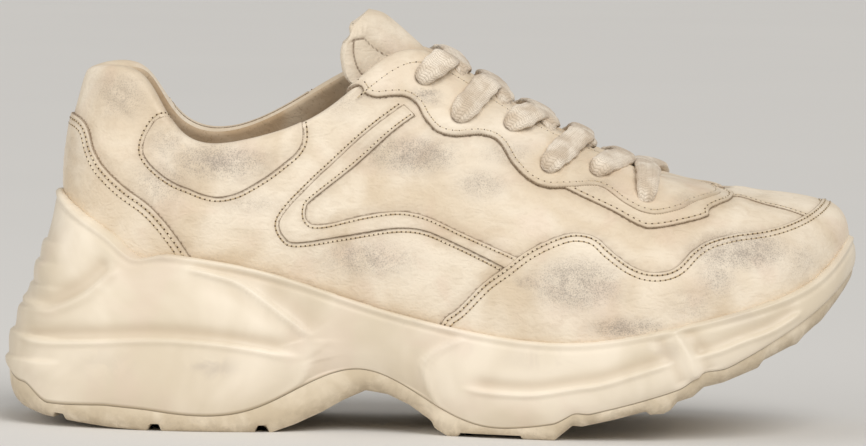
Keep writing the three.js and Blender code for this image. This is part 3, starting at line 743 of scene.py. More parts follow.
def scatter(name, places, shape, material):
    """One mesh of many equal beads, each at its own place, along its own direction."""
    points, faces = shape
    at, along, up = (np.array([p[k] for p in places]) for k in range(3))
    along = unit(along)
    side = unit(np.cross(up, along))
    up = np.cross(along, side)
    made = (at[:, None] + points[None, :, :1] * along[:, None] + points[None, :, 1:2] * side[:, None]
            + points[None, :, 2:] * up[:, None])
    index = faces[None] + (np.arange(len(at)) * len(points))[:, None, None]
    return make_piece(name, made.reshape(-1, 3), index.reshape(-1, 3), material)


def make_stitches(thread, dark):
    """Thread and needle holes of all rows noted so far."""
    beads, holes = [], []
    for line, height, pitch in stitch_rows:
        line = resample(line, pitch)
        p = surface(line[:, 0], line[:, 1], height)
        n = facing_at(line[:, 0], line[:, 1])
        for i in range(1, len(p) - 2):
            step = p[i + 1] - p[i]
            if np.linalg.norm(step) < 0.5 * pitch or not 0 < line[i, 1] < 1.07:
                continue
            middle = (p[i] + p[i + 1]) / 2
            beads.append((middle - n[i] * 0.02, step, n[i]))
            holes.append((p[i] - n[i] * 0.1, step, n[i]))
    half = len(beads) // 2
    made = [
        scatter("stitches_a", beads[:half], template(0.27, 1.75), thread),
        scatter("stitches_b", beads[half:], template(0.27, 1.75), thread),
        # Dark beads in the needle holes: painted shade, with polish.
        scatter("needle_holes", holes, template(0.34, 0.8), dark),
    ]
    return made


# ---------------------------------------------------------------- materials

def add(tree, kind, inputs=None, **settings):
    """Adds a node with its settings; an input is a value or another node's output."""
    made = tree.nodes.new(kind)
    for key, value in settings.items():
        setattr(made, key, value)
    for key, value in (inputs or {}).items():
        if isinstance(value, bpy.types.NodeSocket):
            tree.links.new(value, made.inputs[key])
        else:
            made.inputs[key].default_value = value
    return made


def new_material(name, roughness, ior=1.45, specular=0.5):
    material = bpy.data.materials.new(name)
    material.use_nodes = True
    tree = material.node_tree
    shader = tree.nodes["Principled BSDF"]
    shader.inputs["Roughness"].default_value = roughness
    shader.inputs["IOR"].default_value = ior
    shader.inputs["Specular IOR Level"].default_value = specular
    return material, tree, shader


def mix(tree, share, a, b):
    """Colour between two colours."""
    made = add(tree, "ShaderNodeMix", data_type="RGBA")
    for socket, value in ((0, share), (6, a), (7, b)):
        if isinstance(value, bpy.types.NodeSocket):
            tree.links.new(value, made.inputs[socket])
        else:
            made.inputs[socket].default_value = value
    return made.outputs[2]


def maths(tree, operation, a, b=0.0, clamp=False):
    return add(tree, "ShaderNodeMath", {0: a, 1: b}, operation=operation, use_clamp=clamp).outputs[0]


def ramp(tree, value, low, high, to_low=0.0, to_high=1.0):
    """Value eased from one range to another."""
    inputs = {"Value": value, "From Min": low, "From Max": high, "To Min": to_low, "To Max": to_high}
    return add(tree, "ShaderNodeMapRange", inputs, interpolation_type="SMOOTHSTEP").outputs[0]


def noise(tree, vector, size_mm, detail=3.0, distortion=0.0, roughness=0.5):
    inputs = {"Vector": vector, "Scale": 1 / (size_mm * MM), "Detail": detail, "Distortion": distortion,
              "Roughness": roughness}
    return add(tree, "ShaderNodeTexNoise", inputs).outputs[0]


def attribute(tree, name):
    return add(tree, "ShaderNodeAttribute", attribute_name=name).outputs["Fac"]


def bump(tree, height, distance_mm, strength, normal=None):
    inputs = {"Height": height, "Distance": distance_mm * MM, "Strength": strength}
    if normal is not None:
        inputs["Normal"] = normal
    return add(tree, "ShaderNodeBump", inputs).outputs[0]


def worn_leather(look):
    """Full-grain calf leather, drum dyed and waxed: warm cream, pebbled, with dust in the grain, painted
    shade in its folds and round the eyelet holes, and a painted shadow line with the dirt along its panel
    edges.
    """
    material, tree, shader = new_material("calf_leather_waxed", 0.5, specular=0.42)
    here = add(tree, "ShaderNodeTexCoord").outputs["Object"]
    cells = add(tree, "ShaderNodeTexVoronoi", {"Vector": here, "Scale": 1 / (1.0 * MM), "Randomness": 1.0},
                feature="SMOOTH_F1").outputs["Distance"]
    fine = noise(tree, here, 0.8, 3)
    folds = noise(tree, add(tree, "ShaderNodeMapping", {"Vector": here, "Scale": (0.7, 1, 1.5)}).outputs[0],
                  4.5, 4, 1.6)
    cloudy = noise(tree, here, 32, 3, 0.5)
    colour = mix(tree, ramp(tree, cloudy, 0.34, 0.64), list(look.leather_shade), list(look.leather))
    rosy = noise(tree, here, 18, 2, 0.4)
    colour = mix(tree, ramp(tree, rosy, 0.5, 0.72, 0, 0.22), colour, linear("D8B9A4"))
    # Painted shade in the valleys of the folds.
    colour = mix(tree, ramp(tree, folds, 0.55, 0.3, 0, 0.12), colour, linear("AD9577"))
    # Dust ground into the pores: a soft veil, and dark specks that crowd towards its middle.
    speck = noise(tree, here, 0.5, 3, 0, 0.65)
    drift = noise(tree, here, 6, 4, 0.8, 0.6)
    grime = attribute(tree, "grime")
    patch = maths(tree, "MULTIPLY", grime, ramp(tree, drift, 0.3, 0.62, 0.45, 1.1), clamp=True)
    crowd = maths(tree, "ADD", speck, maths(tree, "MULTIPLY", patch, 0.12))
    specks = maths(tree, "MULTIPLY", ramp(tree, crowd, 0.5, 0.72), ramp(tree, grime, 0.03, 0.6, 0, 0.42))
    veil = maths(tree, "MULTIPLY", patch, 0.55, clamp=True)
    colour = mix(tree, veil, colour, linear("9C8F84"))
    colour = mix(tree, specks, colour, list(look.scuff))
    # Brown polish and dirt that settles along the seams, and painted shadow in the dark line right at each
    # panel edge.
    seam = attribute(tree, "seam")
    halo = maths(tree, "MULTIPLY", ramp(tree, seam, 5, 0.4, 0, 0.26), ramp(tree, drift, 0.3, 0.62, 0.4, 1))
    colour = mix(tree, halo, colour, linear("A68E70"))
    # Dark line at the very edge: painted shadow of the panel edge, with dirt.
    line = maths(tree, "MULTIPLY", ramp(tree, seam, 0.6, 0.15, 0, 0.8), ramp(tree, fine, 0.3, 0.6, 0.6, 1))
    colour = mix(tree, line, colour, list(look.seam_dirt))
    # Painted shade round the rims of the eyelet holes.
    hole = ramp(tree, attribute(tree, "hole"), 1.6, 0.1, 0, 0.8)
    colour = mix(tree, hole, colour, linear("6B5644"))
    tree.links.new(colour, shader.inputs["Base Color"])
    rough = ramp(tree, cloudy, 0.3, 0.7, 0.44, 0.58)
    rough = maths(tree, "ADD", rough, maths(tree, "MULTIPLY", veil, 0.5))
    tree.links.new(rough, shader.inputs["Roughness"])
    normal = bump(tree, folds, 0.55, 0.5)
    normal = bump(tree, cells, 0.22, 0.5, normal)
    normal = bump(tree, fine, 0.12, 0.35, normal)
    tree.links.new(normal, shader.inputs["Normal"])
    return material


def lining_leather(look):
    """Glued pigskin lining, brushed by the foot: matt tan, fine pores."""
    material, tree, shader = new_material("pigskin_lining", 0.72, specular=0.3)
    here = add(tree, "ShaderNodeTexCoord").outputs["Object"]
    cloudy = noise(tree, here, 22, 3, 0.4)
    colour = mix(tree, ramp(tree, cloudy, 0.34, 0.7), list(look.lining), linear("D3BFA4"))
    pores = noise(tree, here, 0.9, 3)
    colour = mix(tree, ramp(tree, pores, 0.42, 0.3, 0, 0.35), colour, linear("8E7355"))
    tree.links.new(colour, shader.inputs["Base Color"])
    folds = noise(tree, here, 6, 3, 1.2)
    normal = bump(tree, folds, 0.7, 0.5)
    normal = bump(tree, pores, 0.15, 0.5, normal)
    tree.links.new(normal, shader.inputs["Normal"])
    return material


def moulded_foam(look):
    """Compression-moulded EVA, painted: smooth ivory skin with faint rubbed smudges and painted shade in its
    grooves.
    """
    material, tree, shader = new_material("eva_foam_painted", 0.42, specular=0.45)
    here = add(tree, "ShaderNodeTexCoord").outputs["Object"]
    cloudy = noise(tree, here, 40, 3, 0.5)
    colour = mix(tree, ramp(tree, cloudy, 0.35, 0.7), linear("DBCDB6"), list(look.foam))
    rosy = noise(tree, here, 24, 2, 0.4)
    colour = mix(tree, ramp(tree, rosy, 0.5, 0.72, 0, 0.3), colour, linear("DFC9B8"))
    # Painted shade in the moulded grooves, darker where they are deeper.
    hollow = attribute(tree, "hollow")
    colour = mix(tree, ramp(tree, hollow, 0.1, 1.6, 0, 0.5), colour, linear("C4B197"))
    drift = noise(tree, here, 9, 4, 0.8)
    smudge = maths(tree, "MULTIPLY", attribute(tree, "grime"), ramp(tree, drift, 0.38, 0.6))
    colour = mix(tree, maths(tree, "MULTIPLY", smudge, 0.5), colour, linear("A99C92"))
    seam = ramp(tree, attribute(tree, "seam"), 0.6, 0.1, 0, 0.6)
    colour = mix(tree, seam, colour, linear("94805F"))
    tree.links.new(colour, shader.inputs["Base Color"])
    rough = ramp(tree, drift, 0.3, 0.7, 0.36, 0.5)
    tree.links.new(rough, shader.inputs["Roughness"])
    tree.links.new(bump(tree, noise(tree, here, 1.6, 3), 0.08, 0.25), shader.inputs["Normal"])
    return material


def moulded_rubber(look):
    """Compression-moulded rubber: ivory, matt, darker in patches towards its ground edge."""
    material, tree, shader = new_material("moulded_rubber", 0.55, specular=0.4)
    here = add(tree, "ShaderNodeTexCoord").outputs["Object"]
    cloudy = noise(tree, here, 14, 4, 0.5)
    colour = mix(tree, ramp(tree, cloudy, 0.35, 0.7), linear("D2C2A8"), list(look.rubber))
    # Darker in patches towards the ground edge.
    worn = attribute(tree, "grime")
    drift = noise(tree, here, 4, 5, 0.4, 0.65)
    rubbed = maths(tree, "MULTIPLY", worn, ramp(tree, drift, 0.36, 0.62, 0.2, 1), clamp=True)
    colour = mix(tree, maths(tree, "MULTIPLY", rubbed, 0.42), colour, linear("A08F77"))
    tree.links.new(colour, shader.inputs["Base Color"])
    tree.links.new(ramp(tree, drift, 0.3, 0.7, 0.46, 0.7), shader.inputs["Roughness"])
    grit = noise(tree, here, 0.7, 3)
    tree.links.new(bump(tree, grit, 0.12, 0.4), shader.inputs["Normal"])
    return material


def woven_cotton(look):
    """Tubular woven cotton lace: dull cream, a herringbone of threads about a millimetre apart, with painted
    shade between the threads.
    """
    material, tree, shader = new_material("woven_cotton_lace", 0.9, specular=0.25)
    run = add(tree, "ShaderNodeUVMap", uv_map="along").outputs[0]
    parts = add(tree, "ShaderNodeSeparateXYZ", {"Vector": run})
    u, v = parts.outputs[0], parts.outputs[1]
    thread = 0.85
    lean = maths(tree, "PINGPONG", u, 1.0)
    diagonal = maths(tree, "ADD", maths(tree, "DIVIDE", v, thread), maths(tree, "MULTIPLY", lean, 0.7))
    crests = maths(tree, "ABSOLUTE", maths(tree, "SINE", maths(tree, "MULTIPLY", diagonal, math.pi)))
    columns = maths(tree, "ABSOLUTE", maths(tree, "SINE", maths(tree, "MULTIPLY", u, math.pi)))
    weave = maths(tree, "MULTIPLY", crests, maths(tree, "POWER", columns, 0.4))
    here = add(tree, "ShaderNodeTexCoord").outputs["Object"]
    fuzz = noise(tree, here, 0.5, 4)
    cloudy = noise(tree, here, 9, 3, 0.4)
    colour = mix(tree, ramp(tree, cloudy, 0.35, 0.65), linear("D3C1AB"), list(look.lace))
    # Painted shade between the threads of the weave.
    colour = mix(tree, ramp(tree, weave, 0.5, 0.0, 0, 0.4), colour, linear("9A8870"))
    colour = mix(tree, ramp(tree, fuzz, 0.5, 0.3, 0, 0.34), colour, linear("A8977F"))
    tree.links.new(colour, shader.inputs["Base Color"])
    normal = bump(tree, weave, 0.35, 0.6)
    normal = bump(tree, fuzz, 0.18, 0.5, normal)
    tree.links.new(normal, shader.inputs["Normal"])
    shader.inputs["Sheen Weight"].default_value = 0.25
    shader.inputs["Sheen Roughness"].default_value = 0.5
    return material


def insole_cloth(look):
    """Brushed polyester insole cover: matt beige, with darker cloudy patches."""
    material, tree, shader = new_material("brushed_insole_cloth", 0.95, specular=0.2)
    here = add(tree, "ShaderNodeTexCoord").outputs["Object"]
    cloudy = noise(tree, here, 26, 3, 0.5)
    colour = mix(tree, ramp(tree, cloudy, 0.35, 0.68), linear("A08B6C"), linear("C9B591"))
    fine = noise(tree, here, 0.7, 3)
    colour = mix(tree, ramp(tree, fine, 0.5, 0.3, 0, 0.4), colour, linear("7F6B4F"))
    tree.links.new(colour, shader.inputs["Base Color"])
    tree.links.new(bump(tree, fine, 0.25, 0.6), shader.inputs["Normal"])
    return material


def sewing_thread(look):
    """Waxed bonded polyester thread: cream, a little brighter than the leather."""
    material, tree, shader = new_material("bonded_thread", 0.6, specular=0.35)
    here = add(tree, "ShaderNodeTexCoord").outputs["Object"]
    cloudy = noise(tree, here, 5, 3)
    colour = mix(tree, ramp(tree, cloudy, 0.3, 0.7), linear("B39C78"), list(look.thread))
    tree.links.new(colour, shader.inputs["Base Color"])
    tree.links.new(bump(tree, noise(tree, here, 0.3, 2), 0.06, 0.5), shader.inputs["Normal"])
    return material


def needle_hole_shade_and_dirt(look):
    """Open needle holes, dark brown and dull: painted shade of the holes, with polish in them."""
    material, tree, shader = new_material("needle_hole_shade_and_polish", 0.9, specular=0.15)
    here = add(tree, "ShaderNodeTexCoord").outputs["Object"]
    colour = mix(tree, noise(tree, here, 3, 2), linear("3B2B1E"), list(look.seam_dirt))
    tree.links.new(colour, shader.inputs["Base Color"])
    return material


# ---------------------------------------------------------------- pieces

def eyelet_spots():
    outer = columns_at(EYELETS)
    inner = np.stack([STATIONS - outer[:, 0], outer[:, 1]], -1)
    return outer, inner


def lip_share(s):
    """Height share of the upper where the sole's lip meets it."""
    v = np.linspace(-0.7, 0.9, 161)
    z = wall_point(s[:, None], v[None, :])[..., 2]
    top = cup_at(s)[:, 2] - 0.9
    return v[np.abs(z - top[:, None]).argmin(1)]


def build_upper(leather, lining):
    """Hollow upper: outside, rolled edge and lining, with its eyelet holes cut."""
    s = np.arange(SIDE_COLUMNS) * STATIONS / SIDE_COLUMNS
    outside = np.concatenate([[-1, -0.7, -0.4, -0.2, -0.1], np.linspace(0, 1, 106)])
    turns = 1 + ROLL * np.linspace(0, 1, 14)[1:-1]
    within_v = np.concatenate([np.linspace(1, 0, 56), [-0.2, -0.4, -0.58, -0.79, -1]])
    rows = [surface(s, v) for v in outside] + [surface(s, v) for v in turns]
    rows += [inside(s, v) for v in within_v]
    n = len(rows)
    points = np.concatenate(rows)
    faces = loft_faces(n, SIDE_COLUMNS, True)
    row_of = faces[:, 0] // SIDE_COLUMNS
    lined = (row_of >= len(outside) + len(turns) - 3).astype(np.int32)
    # Distance to the panel edges and to the sole's lip, for the seam dirt and the painted edge shadow.
    seams = [resample(line, 0.8) for line in seam_lines]
    spots = np.concatenate(seams)
    tree = tree_of(surface(*spots.T))
    far = np.full(len(points), 9.0)
    front = SIDE_COLUMNS * len(outside)
    far[:front] = distances(points[:front], tree)
    lip = np.repeat(lip_share(s)[None], len(outside), 0).ravel()
    level = np.repeat(outside, SIDE_COLUMNS)
    reach = np.linalg.norm(surface(np.tile(s, len(outside)), np.maximum(lip, -1)) - points[:front], axis=1)
    far[:front] = np.minimum(far[:front], np.where(level > lip, reach + 0.5, 0.6))
    grime = grime_at(points)
    grime[front + SIDE_COLUMNS * len(turns):] = 0
    outer, inner = eyelet_spots()
    # No painted eyelet shade on the upper itself.
    hole = np.full(len(points), 9.0)
    values = {"seam": far, "grime": grime, "hole": hole}
    upper = make_piece("upper", points, faces, [leather, lining], values, slots=lined)
    for spot in np.concatenate([outer, inner]):
        at = surface(*spot)
        turned = Vector(facing_at(*spot)).to_track_quat("Z", "Y").to_euler()
        bpy.ops.mesh.primitive_cylinder_add(vertices=24, radius=EYELET_RADIUS * MM, depth=0.012,
                                            location=Vector((at - CENTRE) * MM), rotation=turned)
        punch = bpy.context.object
        activate(upper)
        cut = upper.modifiers.new("punch", "BOOLEAN")
        cut.object, cut.operation, cut.solver = punch, "DIFFERENCE", "EXACT"
        bpy.ops.object.modifier_apply(modifier=cut.name)
        bpy.data.objects.remove(punch)
    hand_in(upper, "upper_leather", "upper")
    return upper


seam_lines = []  # every visible panel edge, for the dirt and the painted edge shadow beside it


def note_seam(line):
    seam_lines.append(line)
    return line


def build_panels(leather, look):
    """Overlays of the upper, sewn down, from the heel forward."""
    thick = look.panel_thickness / MM
    made = []
    outer, inner = eyelet_spots()

    # Heel counter: round the back, down into the sole.
    seam = trace(COUNTER_SEAM)
    around = note_seam(np.concatenate([mirrored(seam, heel=True), seam[1:]]))
    low = np.array([[seam[-1, 0], -0.12], [-seam[-1, 0], -0.12]])
    foot = np.stack([np.linspace(low[0, 0], low[1, 0], 60), np.full(60, -0.12)], -1)
    made.append(make_panel("heel_counter", np.concatenate([around, foot]), thick, leather))
    for inset in (1.9, 3.9):
        sew(around, thick, -inset, 2.0)

    # Padded collar panels, quarter bands and their stitches, once a side.
    for side in ("outer", "inner"):
        turn = (lambda line: line) if side == "outer" else mirrored
        sign = 1
        collar = note_seam(turn(trace(COLLAR_SEAM)))
        made.append(make_panel("collar_panel_" + side, collar, 0.35, leather, puff=1.5))
        sew(collar, 0.05, -1.3 * sign, 1.9)
        first, second = trace(BAND_OUTER), trace(BAND_INNER)
        band = np.concatenate([first, second[::-1]])
        band = band if side == "outer" else mirrored(band)
        note_seam(turn(first))
        note_seam(turn(second))
        made.append(make_panel("quarter_band_" + side, band, 0.75, leather))
        sew(turn(first), 0.05, -1.2, 1.7)
        sew(turn(second), 0.68, -1.3, 1.7)

    # Toe guard: round the toes, down into the sole.
    seam = trace(GUARD_EDGE)
    around = note_seam(np.concatenate([seam, mirrored(seam)[1:]]))
    foot = np.stack([np.linspace(around[-1, 0], around[0, 0], 240), np.full(240, -0.16)], -1)
    made.append(make_panel("toe_guard", np.concatenate([around, foot]), thick, leather))
    for inset in (1.5, 3.6):
        sew(around, thick, -inset, 1.9)

    # Strip over the toes.
    half = np.array(STRIP_EDGE, float)
    half[:, 1] *= -1
    sides = [[10, middle_share(10, 0, x)] if y == 0 else top_spot(x, y) for x, y in half]
    edge_line = curve(np.array(sides) * PLAN, 0.8) / PLAN
    strip = note_seam(np.concatenate([edge_line, mirrored(edge_line)[1:]]))
    made.append(make_panel("vamp_strip", strip, 0.6, leather))
    sew(strip, 0.5, 1.3, 1.9)

    # Underlay and eyestay round the throat.
    seam = trace(UNDERLAY_EDGE)
    around = note_seam(np.concatenate([seam, mirrored(seam)[1:]]))
    back = np.array([[around[-1, 0] - 0.15, 0.95], [around[0, 0] + 0.15, 0.95]])
    made.append(make_panel("eyestay_underlay", np.concatenate([around, back]), 0.95, leather))
    sew(around, 0.85, 1.7, 2.4)
    seam = trace(EYESTAY_EDGE)
    around = note_seam(np.concatenate([seam, mirrored(seam)[1:]]))
    over = np.linspace(around[-1, 0], around[0, 0], 300)
    throat = np.stack([over, np.full(300, 1 + ROLL * 0.6)], -1)
    spots = [tuple(p) for p in np.concatenate([outer, inner])]
    stay = np.concatenate([around, throat[1:-1]])
    made.append(make_panel("eyestay", stay, thick + 0.35, leather, holes=spots))
    sew(around, thick + 0.1, 2.1, 2.4)
    lip = np.stack([over, np.full(300, 1.0)], -1)
    sew(lip, thick + 0.2, 2.6, 2.4)
    for piece in made:
        hand_in(piece, "upper_leather")
    return made


def top_spot(x, y):
    """Column and height share of a plan point on the outer half of the vamp."""
    s, v = np.meshgrid(np.arange(6.5, 10.01, 0.02), np.arange(0.2, 1.001, 0.004), indexing="ij")
    p = wall_point(s, v)
    k = (np.hypot(p[..., 0] - x, p[..., 1] - y)).argmin()
    return [s.ravel()[k], v.ravel()[k]]


def crest(flat, line, height, half, above=None, below=None):
    """Moulded ridge along a line, with a hollow or a step beside it."""
    line = curve(line, 1.5)
    near = ((flat > line.min(0) - 45) & (flat < line.max(0) + 45)).all(1)
    total = np.zeros(len(flat))
    if not near.any():
        return total
    far, side, share = beside(flat[near], line)
    ends = blend(0, 0.12, share) * blend(0, 0.12, 1 - share)
    here = height * np.exp(-(far / half) ** 2)
    for wanted, form in ((1, above), (-1, below)):
        if form:
            depth, at, spread = form
            hollow = depth * np.exp(-((far - at) / spread) ** 2) * blend(0, 1.6, far)
            here = here + np.where(side == wanted, hollow, 0)
    total[near] = here * ends
    return total


def sculpt(p):
    """Moulded relief of the midsole's side at points p."""
    flat = np.stack([p[:, 0], p[:, 2]], -1)
    x, z = flat.T
    total = crest(flat, BELT, 0.8, 1.2, above=(-1.5, 3.4, 3.2))
    total += crest(flat, UPPER_PAD, 0.9, 1.2, above=(-1.2, 5, 6), below=(-0.6, 4, 4))
    total += crest(flat, LOWER_PAD, 0.5, 1.5, above=(-0.8, 5, 6))
    total += crest(flat, FORE_PAD, 0.8, 0.9, below=(-0.7, 3.6, 4))
    total += crest(flat, FORE_BELT, 0.7, 1.2, above=(-1.2, 3, 2.8))
    total += crest(flat, FRONT_BELT, 0.6, 1.2, above=(-1.0, 3, 2.8))
    total += crest(flat, RIB, 1.1, 2.0, above=(-1.0, 5.5, 3), below=(-1.0, 5.5, 3))
    total += crest(flat, SCOOP_RIDGE, 1.2, 1.8, above=(-1.6, 4.2, 4))
    back = blend(-134, -146, x)
    for level in HEEL_STEPS:
        total += back * 1.3 * blend(level + 0.7, level - 0.7, z) * blend(level - 9, level - 1, z)
    return total


def build_midsole(foam):
    """Midsole with its moulded ridges, rolled lip and the cup that the upper sits in."""
    s = np.arange(SOLE_COLUMNS) * STATIONS / SOLE_COLUMNS
    v = np.linspace(0, 1, 84)
    ends = [joint_at(s), spline_at(belly_low, s), spline_at(belly_high, s), cup_at(s)]
    side = np.stack([bezier(np.full(len(s), t), *ends) for t in v])
    along = np.roll(side, -1, 1) - np.roll(side, 1, 1)
    out = unit(np.cross(along, np.gradient(side, axis=0)))
    lip_gap = np.linalg.norm(side - side[-1:], axis=2).ravel()
    flat = side.reshape(-1, 3)
    depth = sculpt(flat) * blend(0, 2.5, lip_gap) * blend(0.0, 0.05, np.repeat(v, len(s)))
    depth += 0.4 * np.exp(-((lip_gap - 1.0) / 0.9) ** 2) - 0.28 * np.exp(-((lip_gap - 3.0) / 0.9) ** 2)
    depth -= 0.5 * np.exp(-(lip_gap / 0.5) ** 2)
    flat = flat + out.reshape(-1, 3) * depth[:, None]
    share = lip_share(s)
    inner = wall_point(s, share) + wall_normal(s, share) * GAP
    outer = flat.reshape(side.shape)[-1]
    rows = [flat]
    for t in (0.15, 0.35, 0.6, 0.85):
        rows.append(outer * (1 - t) + inner * t + np.array([0, 0, 0.55]) * math.sin(math.pi * t))
    rows.append(inner)
    for t in np.linspace(0, 1, 12)[1:]:
        level = share * (1 - t) - t
        rows.append(wall_point(s, level) + wall_normal(s, level) * GAP * 0.5)
    rows[-1] = rows[-1] * [1, 1, 0] + np.stack([0 * s, 0 * s, bed_at(rows[-1][:, 0])], -1)
    points = np.concatenate(rows)
    count = len(points) // len(s)
    faces = [loft_faces(count, len(s))]
    faces += lid_faces(0, len(s), False) + lid_faces((count - 1) * len(s), len(s), True)
    # Depth of the moulded grooves, for the painted shade in them.
    hollow = np.zeros(len(points))
    hollow[:len(depth)] = np.maximum(0, -depth)
    seam = np.full(len(points), 9.0)
    seam[:len(depth)] = np.repeat(v, len(s)) * 18
    seam[len(depth):] = np.linalg.norm(points[len(depth):] - np.tile(inner, (count - len(v), 1)), axis=1)
    grime = np.zeros(len(points))
    for x, z, long, high, strength in SMUDGES:
        far = np.hypot((points[:, 0] - x) / long, (points[:, 2] - z) / high)
        grime = np.maximum(grime, strength * blend(1.5, 0, far))
    values = {"hollow": hollow, "seam": seam, "grime": grime}
    midsole = make_piece("midsole", points, merge_faces(faces), foam, values)
    hand_in(midsole, "midsole_foam", "midsole")
    return midsole


SMUDGES = [(-80, 24, 9, 4, 0.8), (-10, 41, 6, 3, 0.6), (9, 33, 5, 3, 0.5), (84, 34, 9, 6, 0.4),
           (40, 30, 14, 5, 0.3), (-120, 24, 12, 6, 0.3), (-98, 64, 12, 3, 0.5), (110, 47, 14, 4, 0.4)]


def merge_faces(faces):
    """Face lists of three and of four corners, one list for each."""
    quads = [f for f in faces if f.shape[1] == 4]
    others = [f for f in faces if f.shape[1] == 3]
    made = [np.concatenate(quads)] if quads else []
    return made + ([np.concatenate(others)] if others else [])


def tread_height(x, y):
    """Height of the ground face, its grooves included."""
    z = height_at(GROUND, x)
    cut = np.zeros_like(x)
    for at, width, turn, depth in GROOVES:
        t = math.radians(turn)
        gap = np.abs((x - at) * math.cos(t) + y * math.sin(t))
        cut = np.maximum(cut, depth * blend(width / 2 + 0.5, width / 2 - 0.3, gap))
    return z + cut


def build_outsole(rubber):
    """Outsole with its rounded edge and tread grooves."""
    n = TREAD_COLUMNS
    s = np.arange(n) * STATIONS / n
    top = joint_at(s) - [0, 0, JOINT_GAP]
    ground = spline_at(tread, s)
    low = np.stack([ground[:, 0], ground[:, 1], height_at(GROUND, ground[:, 0])], -1)
    waist = top + (low - top) * [0.25, 0.25, 0.62]
    pull = 2 * waist - (top + low) / 2
    rows = []
    for t in np.linspace(0, 1, 14):
        p = (1 - t) ** 2 * low + 2 * t * (1 - t) * pull + t ** 2 * top
        floor = np.minimum(tread_height(p[:, 0], p[:, 1]), top[:, 2] - 1.2)
        p[:, 2] = np.maximum(p[:, 2], floor)
        rows.append(p)
    points = np.concatenate(rows)
    faces = [loft_faces(len(rows), n)] + lid_faces((len(rows) - 1) * n, n, True)
    half = n // 2
    shares = np.linspace(0, 1, 15)[1:-1]
    left, right = points[1:half], points[n - 1:half:-1]
    field = left[:, None] + (right - left)[:, None] * shares[None, :, None]
    field[..., 2] = np.minimum(tread_height(field[..., 0], field[..., 1]),
                               (np.minimum(top[1:half, 2], top[n - 1:half:-1, 2]) - 1.2)[:, None])
    first = len(points)
    points = np.concatenate([points, field.reshape(-1, 3)])
    inner = first + np.arange(len(field) * len(shares)).reshape(len(field), len(shares))
    grid = np.concatenate([np.arange(1, half)[:, None], inner, np.arange(n - 1, half, -1)[:, None]], 1)
    a, b, c, d = grid[:-1, :-1], grid[1:, :-1], grid[1:, 1:], grid[:-1, 1:]
    faces.append(np.stack([a, d, c, b], -1).reshape(-1, 4))
    heel, toe = grid[0], grid[-1]
    faces.append(np.stack([np.zeros(len(heel) - 1, int), heel[1:], heel[:-1]], -1))
    faces.append(np.stack([np.full(len(toe) - 1, half), toe[:-1], toe[1:]], -1))
    # Share that darkens the rubber towards its ground edge.
    grime = blend(9, 0, points[:, 2] - height_at(GROUND, points[:, 0]))
    outsole = make_piece("outsole", points, merge_faces(faces), rubber, {"grime": grime})
    activate(outsole)
    bpy.ops.object.shade_smooth_by_angle(angle=math.radians(38))
    hand_in(outsole, "outsole_rubber", "outsole")
    return outsole


def build_insole(cloth):
    """Insole dished by the foot, with a rolled border."""
    n = 240
    s = np.arange(n) * STATIONS / n
    inset = WALL + GAP
    levels = np.linspace(-1, -0.58, 9)
    rows = [wall_point(s, v) - wall_normal(s, v) * inset for v in levels]
    low = rows[0].copy()
    low[:, 2] = bed_at(low[:, 0]) + GAP
    low[:, 1] *= 0.985
    rows.insert(0, low)
    points = np.concatenate(rows)
    faces = [loft_faces(len(rows), n)] + lid_faces(0, n, False)
    half = n // 2
    top = (len(rows) - 1) * n
    shares = np.linspace(0, 1, 26)[1:-1]
    left, right = points[top + 1:top + half], points[top + n - 1:top + half:-1]
    field = left[:, None] + (right - left)[:, None] * shares[None, :, None]
    across_share = 4 * shares * (1 - shares)
    x = field[..., 0]
    dish = 1.6 + 1.4 * np.exp(-((x + 95) / 32) ** 2) + 0.8 * np.exp(-((x - 60) / 35) ** 2)
    field[..., 2] -= dish * across_share[None, :] ** 0.7 * blend(0, 8, np.arange(len(field)))[:, None] \
        * blend(0, 8, np.arange(len(field))[::-1])[:, None]
    first = len(points)
    points = np.concatenate([points, field.reshape(-1, 3)])
    inner = first + np.arange(len(field) * len(shares)).reshape(len(field), len(shares))
    grid = np.concatenate(
        [top + np.arange(1, half)[:, None], inner, top + np.arange(n - 1, half, -1)[:, None]], 1)
    a, b, c, d = grid[:-1, :-1], grid[1:, :-1], grid[1:, 1:], grid[:-1, 1:]
    faces.append(np.stack([a, b, c, d], -1).reshape(-1, 4))
    faces.append(np.stack([np.full(len(grid[0]) - 1, top), grid[0][:-1], grid[0][1:]], -1))
    faces.append(np.stack([np.full(len(grid[-1]) - 1, top + half), grid[-1][1:], grid[-1][:-1]], -1))
    insole = make_piece("insole", points, merge_faces(faces), cloth)
    hand_in(insole, "insole_fabric", "insole")
    return insole


def smooth_rows(table, count):
    """Rows of a table made many by one smooth curve through them."""
    p = np.array(table, float)
    q = np.concatenate([2 * p[:1] - p[1:2], p, 2 * p[-1:] - p[-2:-1]])
    at = np.linspace(0, len(p) - 1, count)
    i = np.minimum(at.astype(int), len(p) - 2)
    t = (at - i)[:, None]
    a, b, c, d = q[i], q[i + 1], q[i + 2], q[i + 3]
    return (b + 0.5 * t * (c - a) + t ** 2 * (a - 2.5 * b + 2 * c - 0.5 * d)
            + t ** 3 * (-0.5 * a + 1.5 * b - 1.5 * c + 0.5 * d))


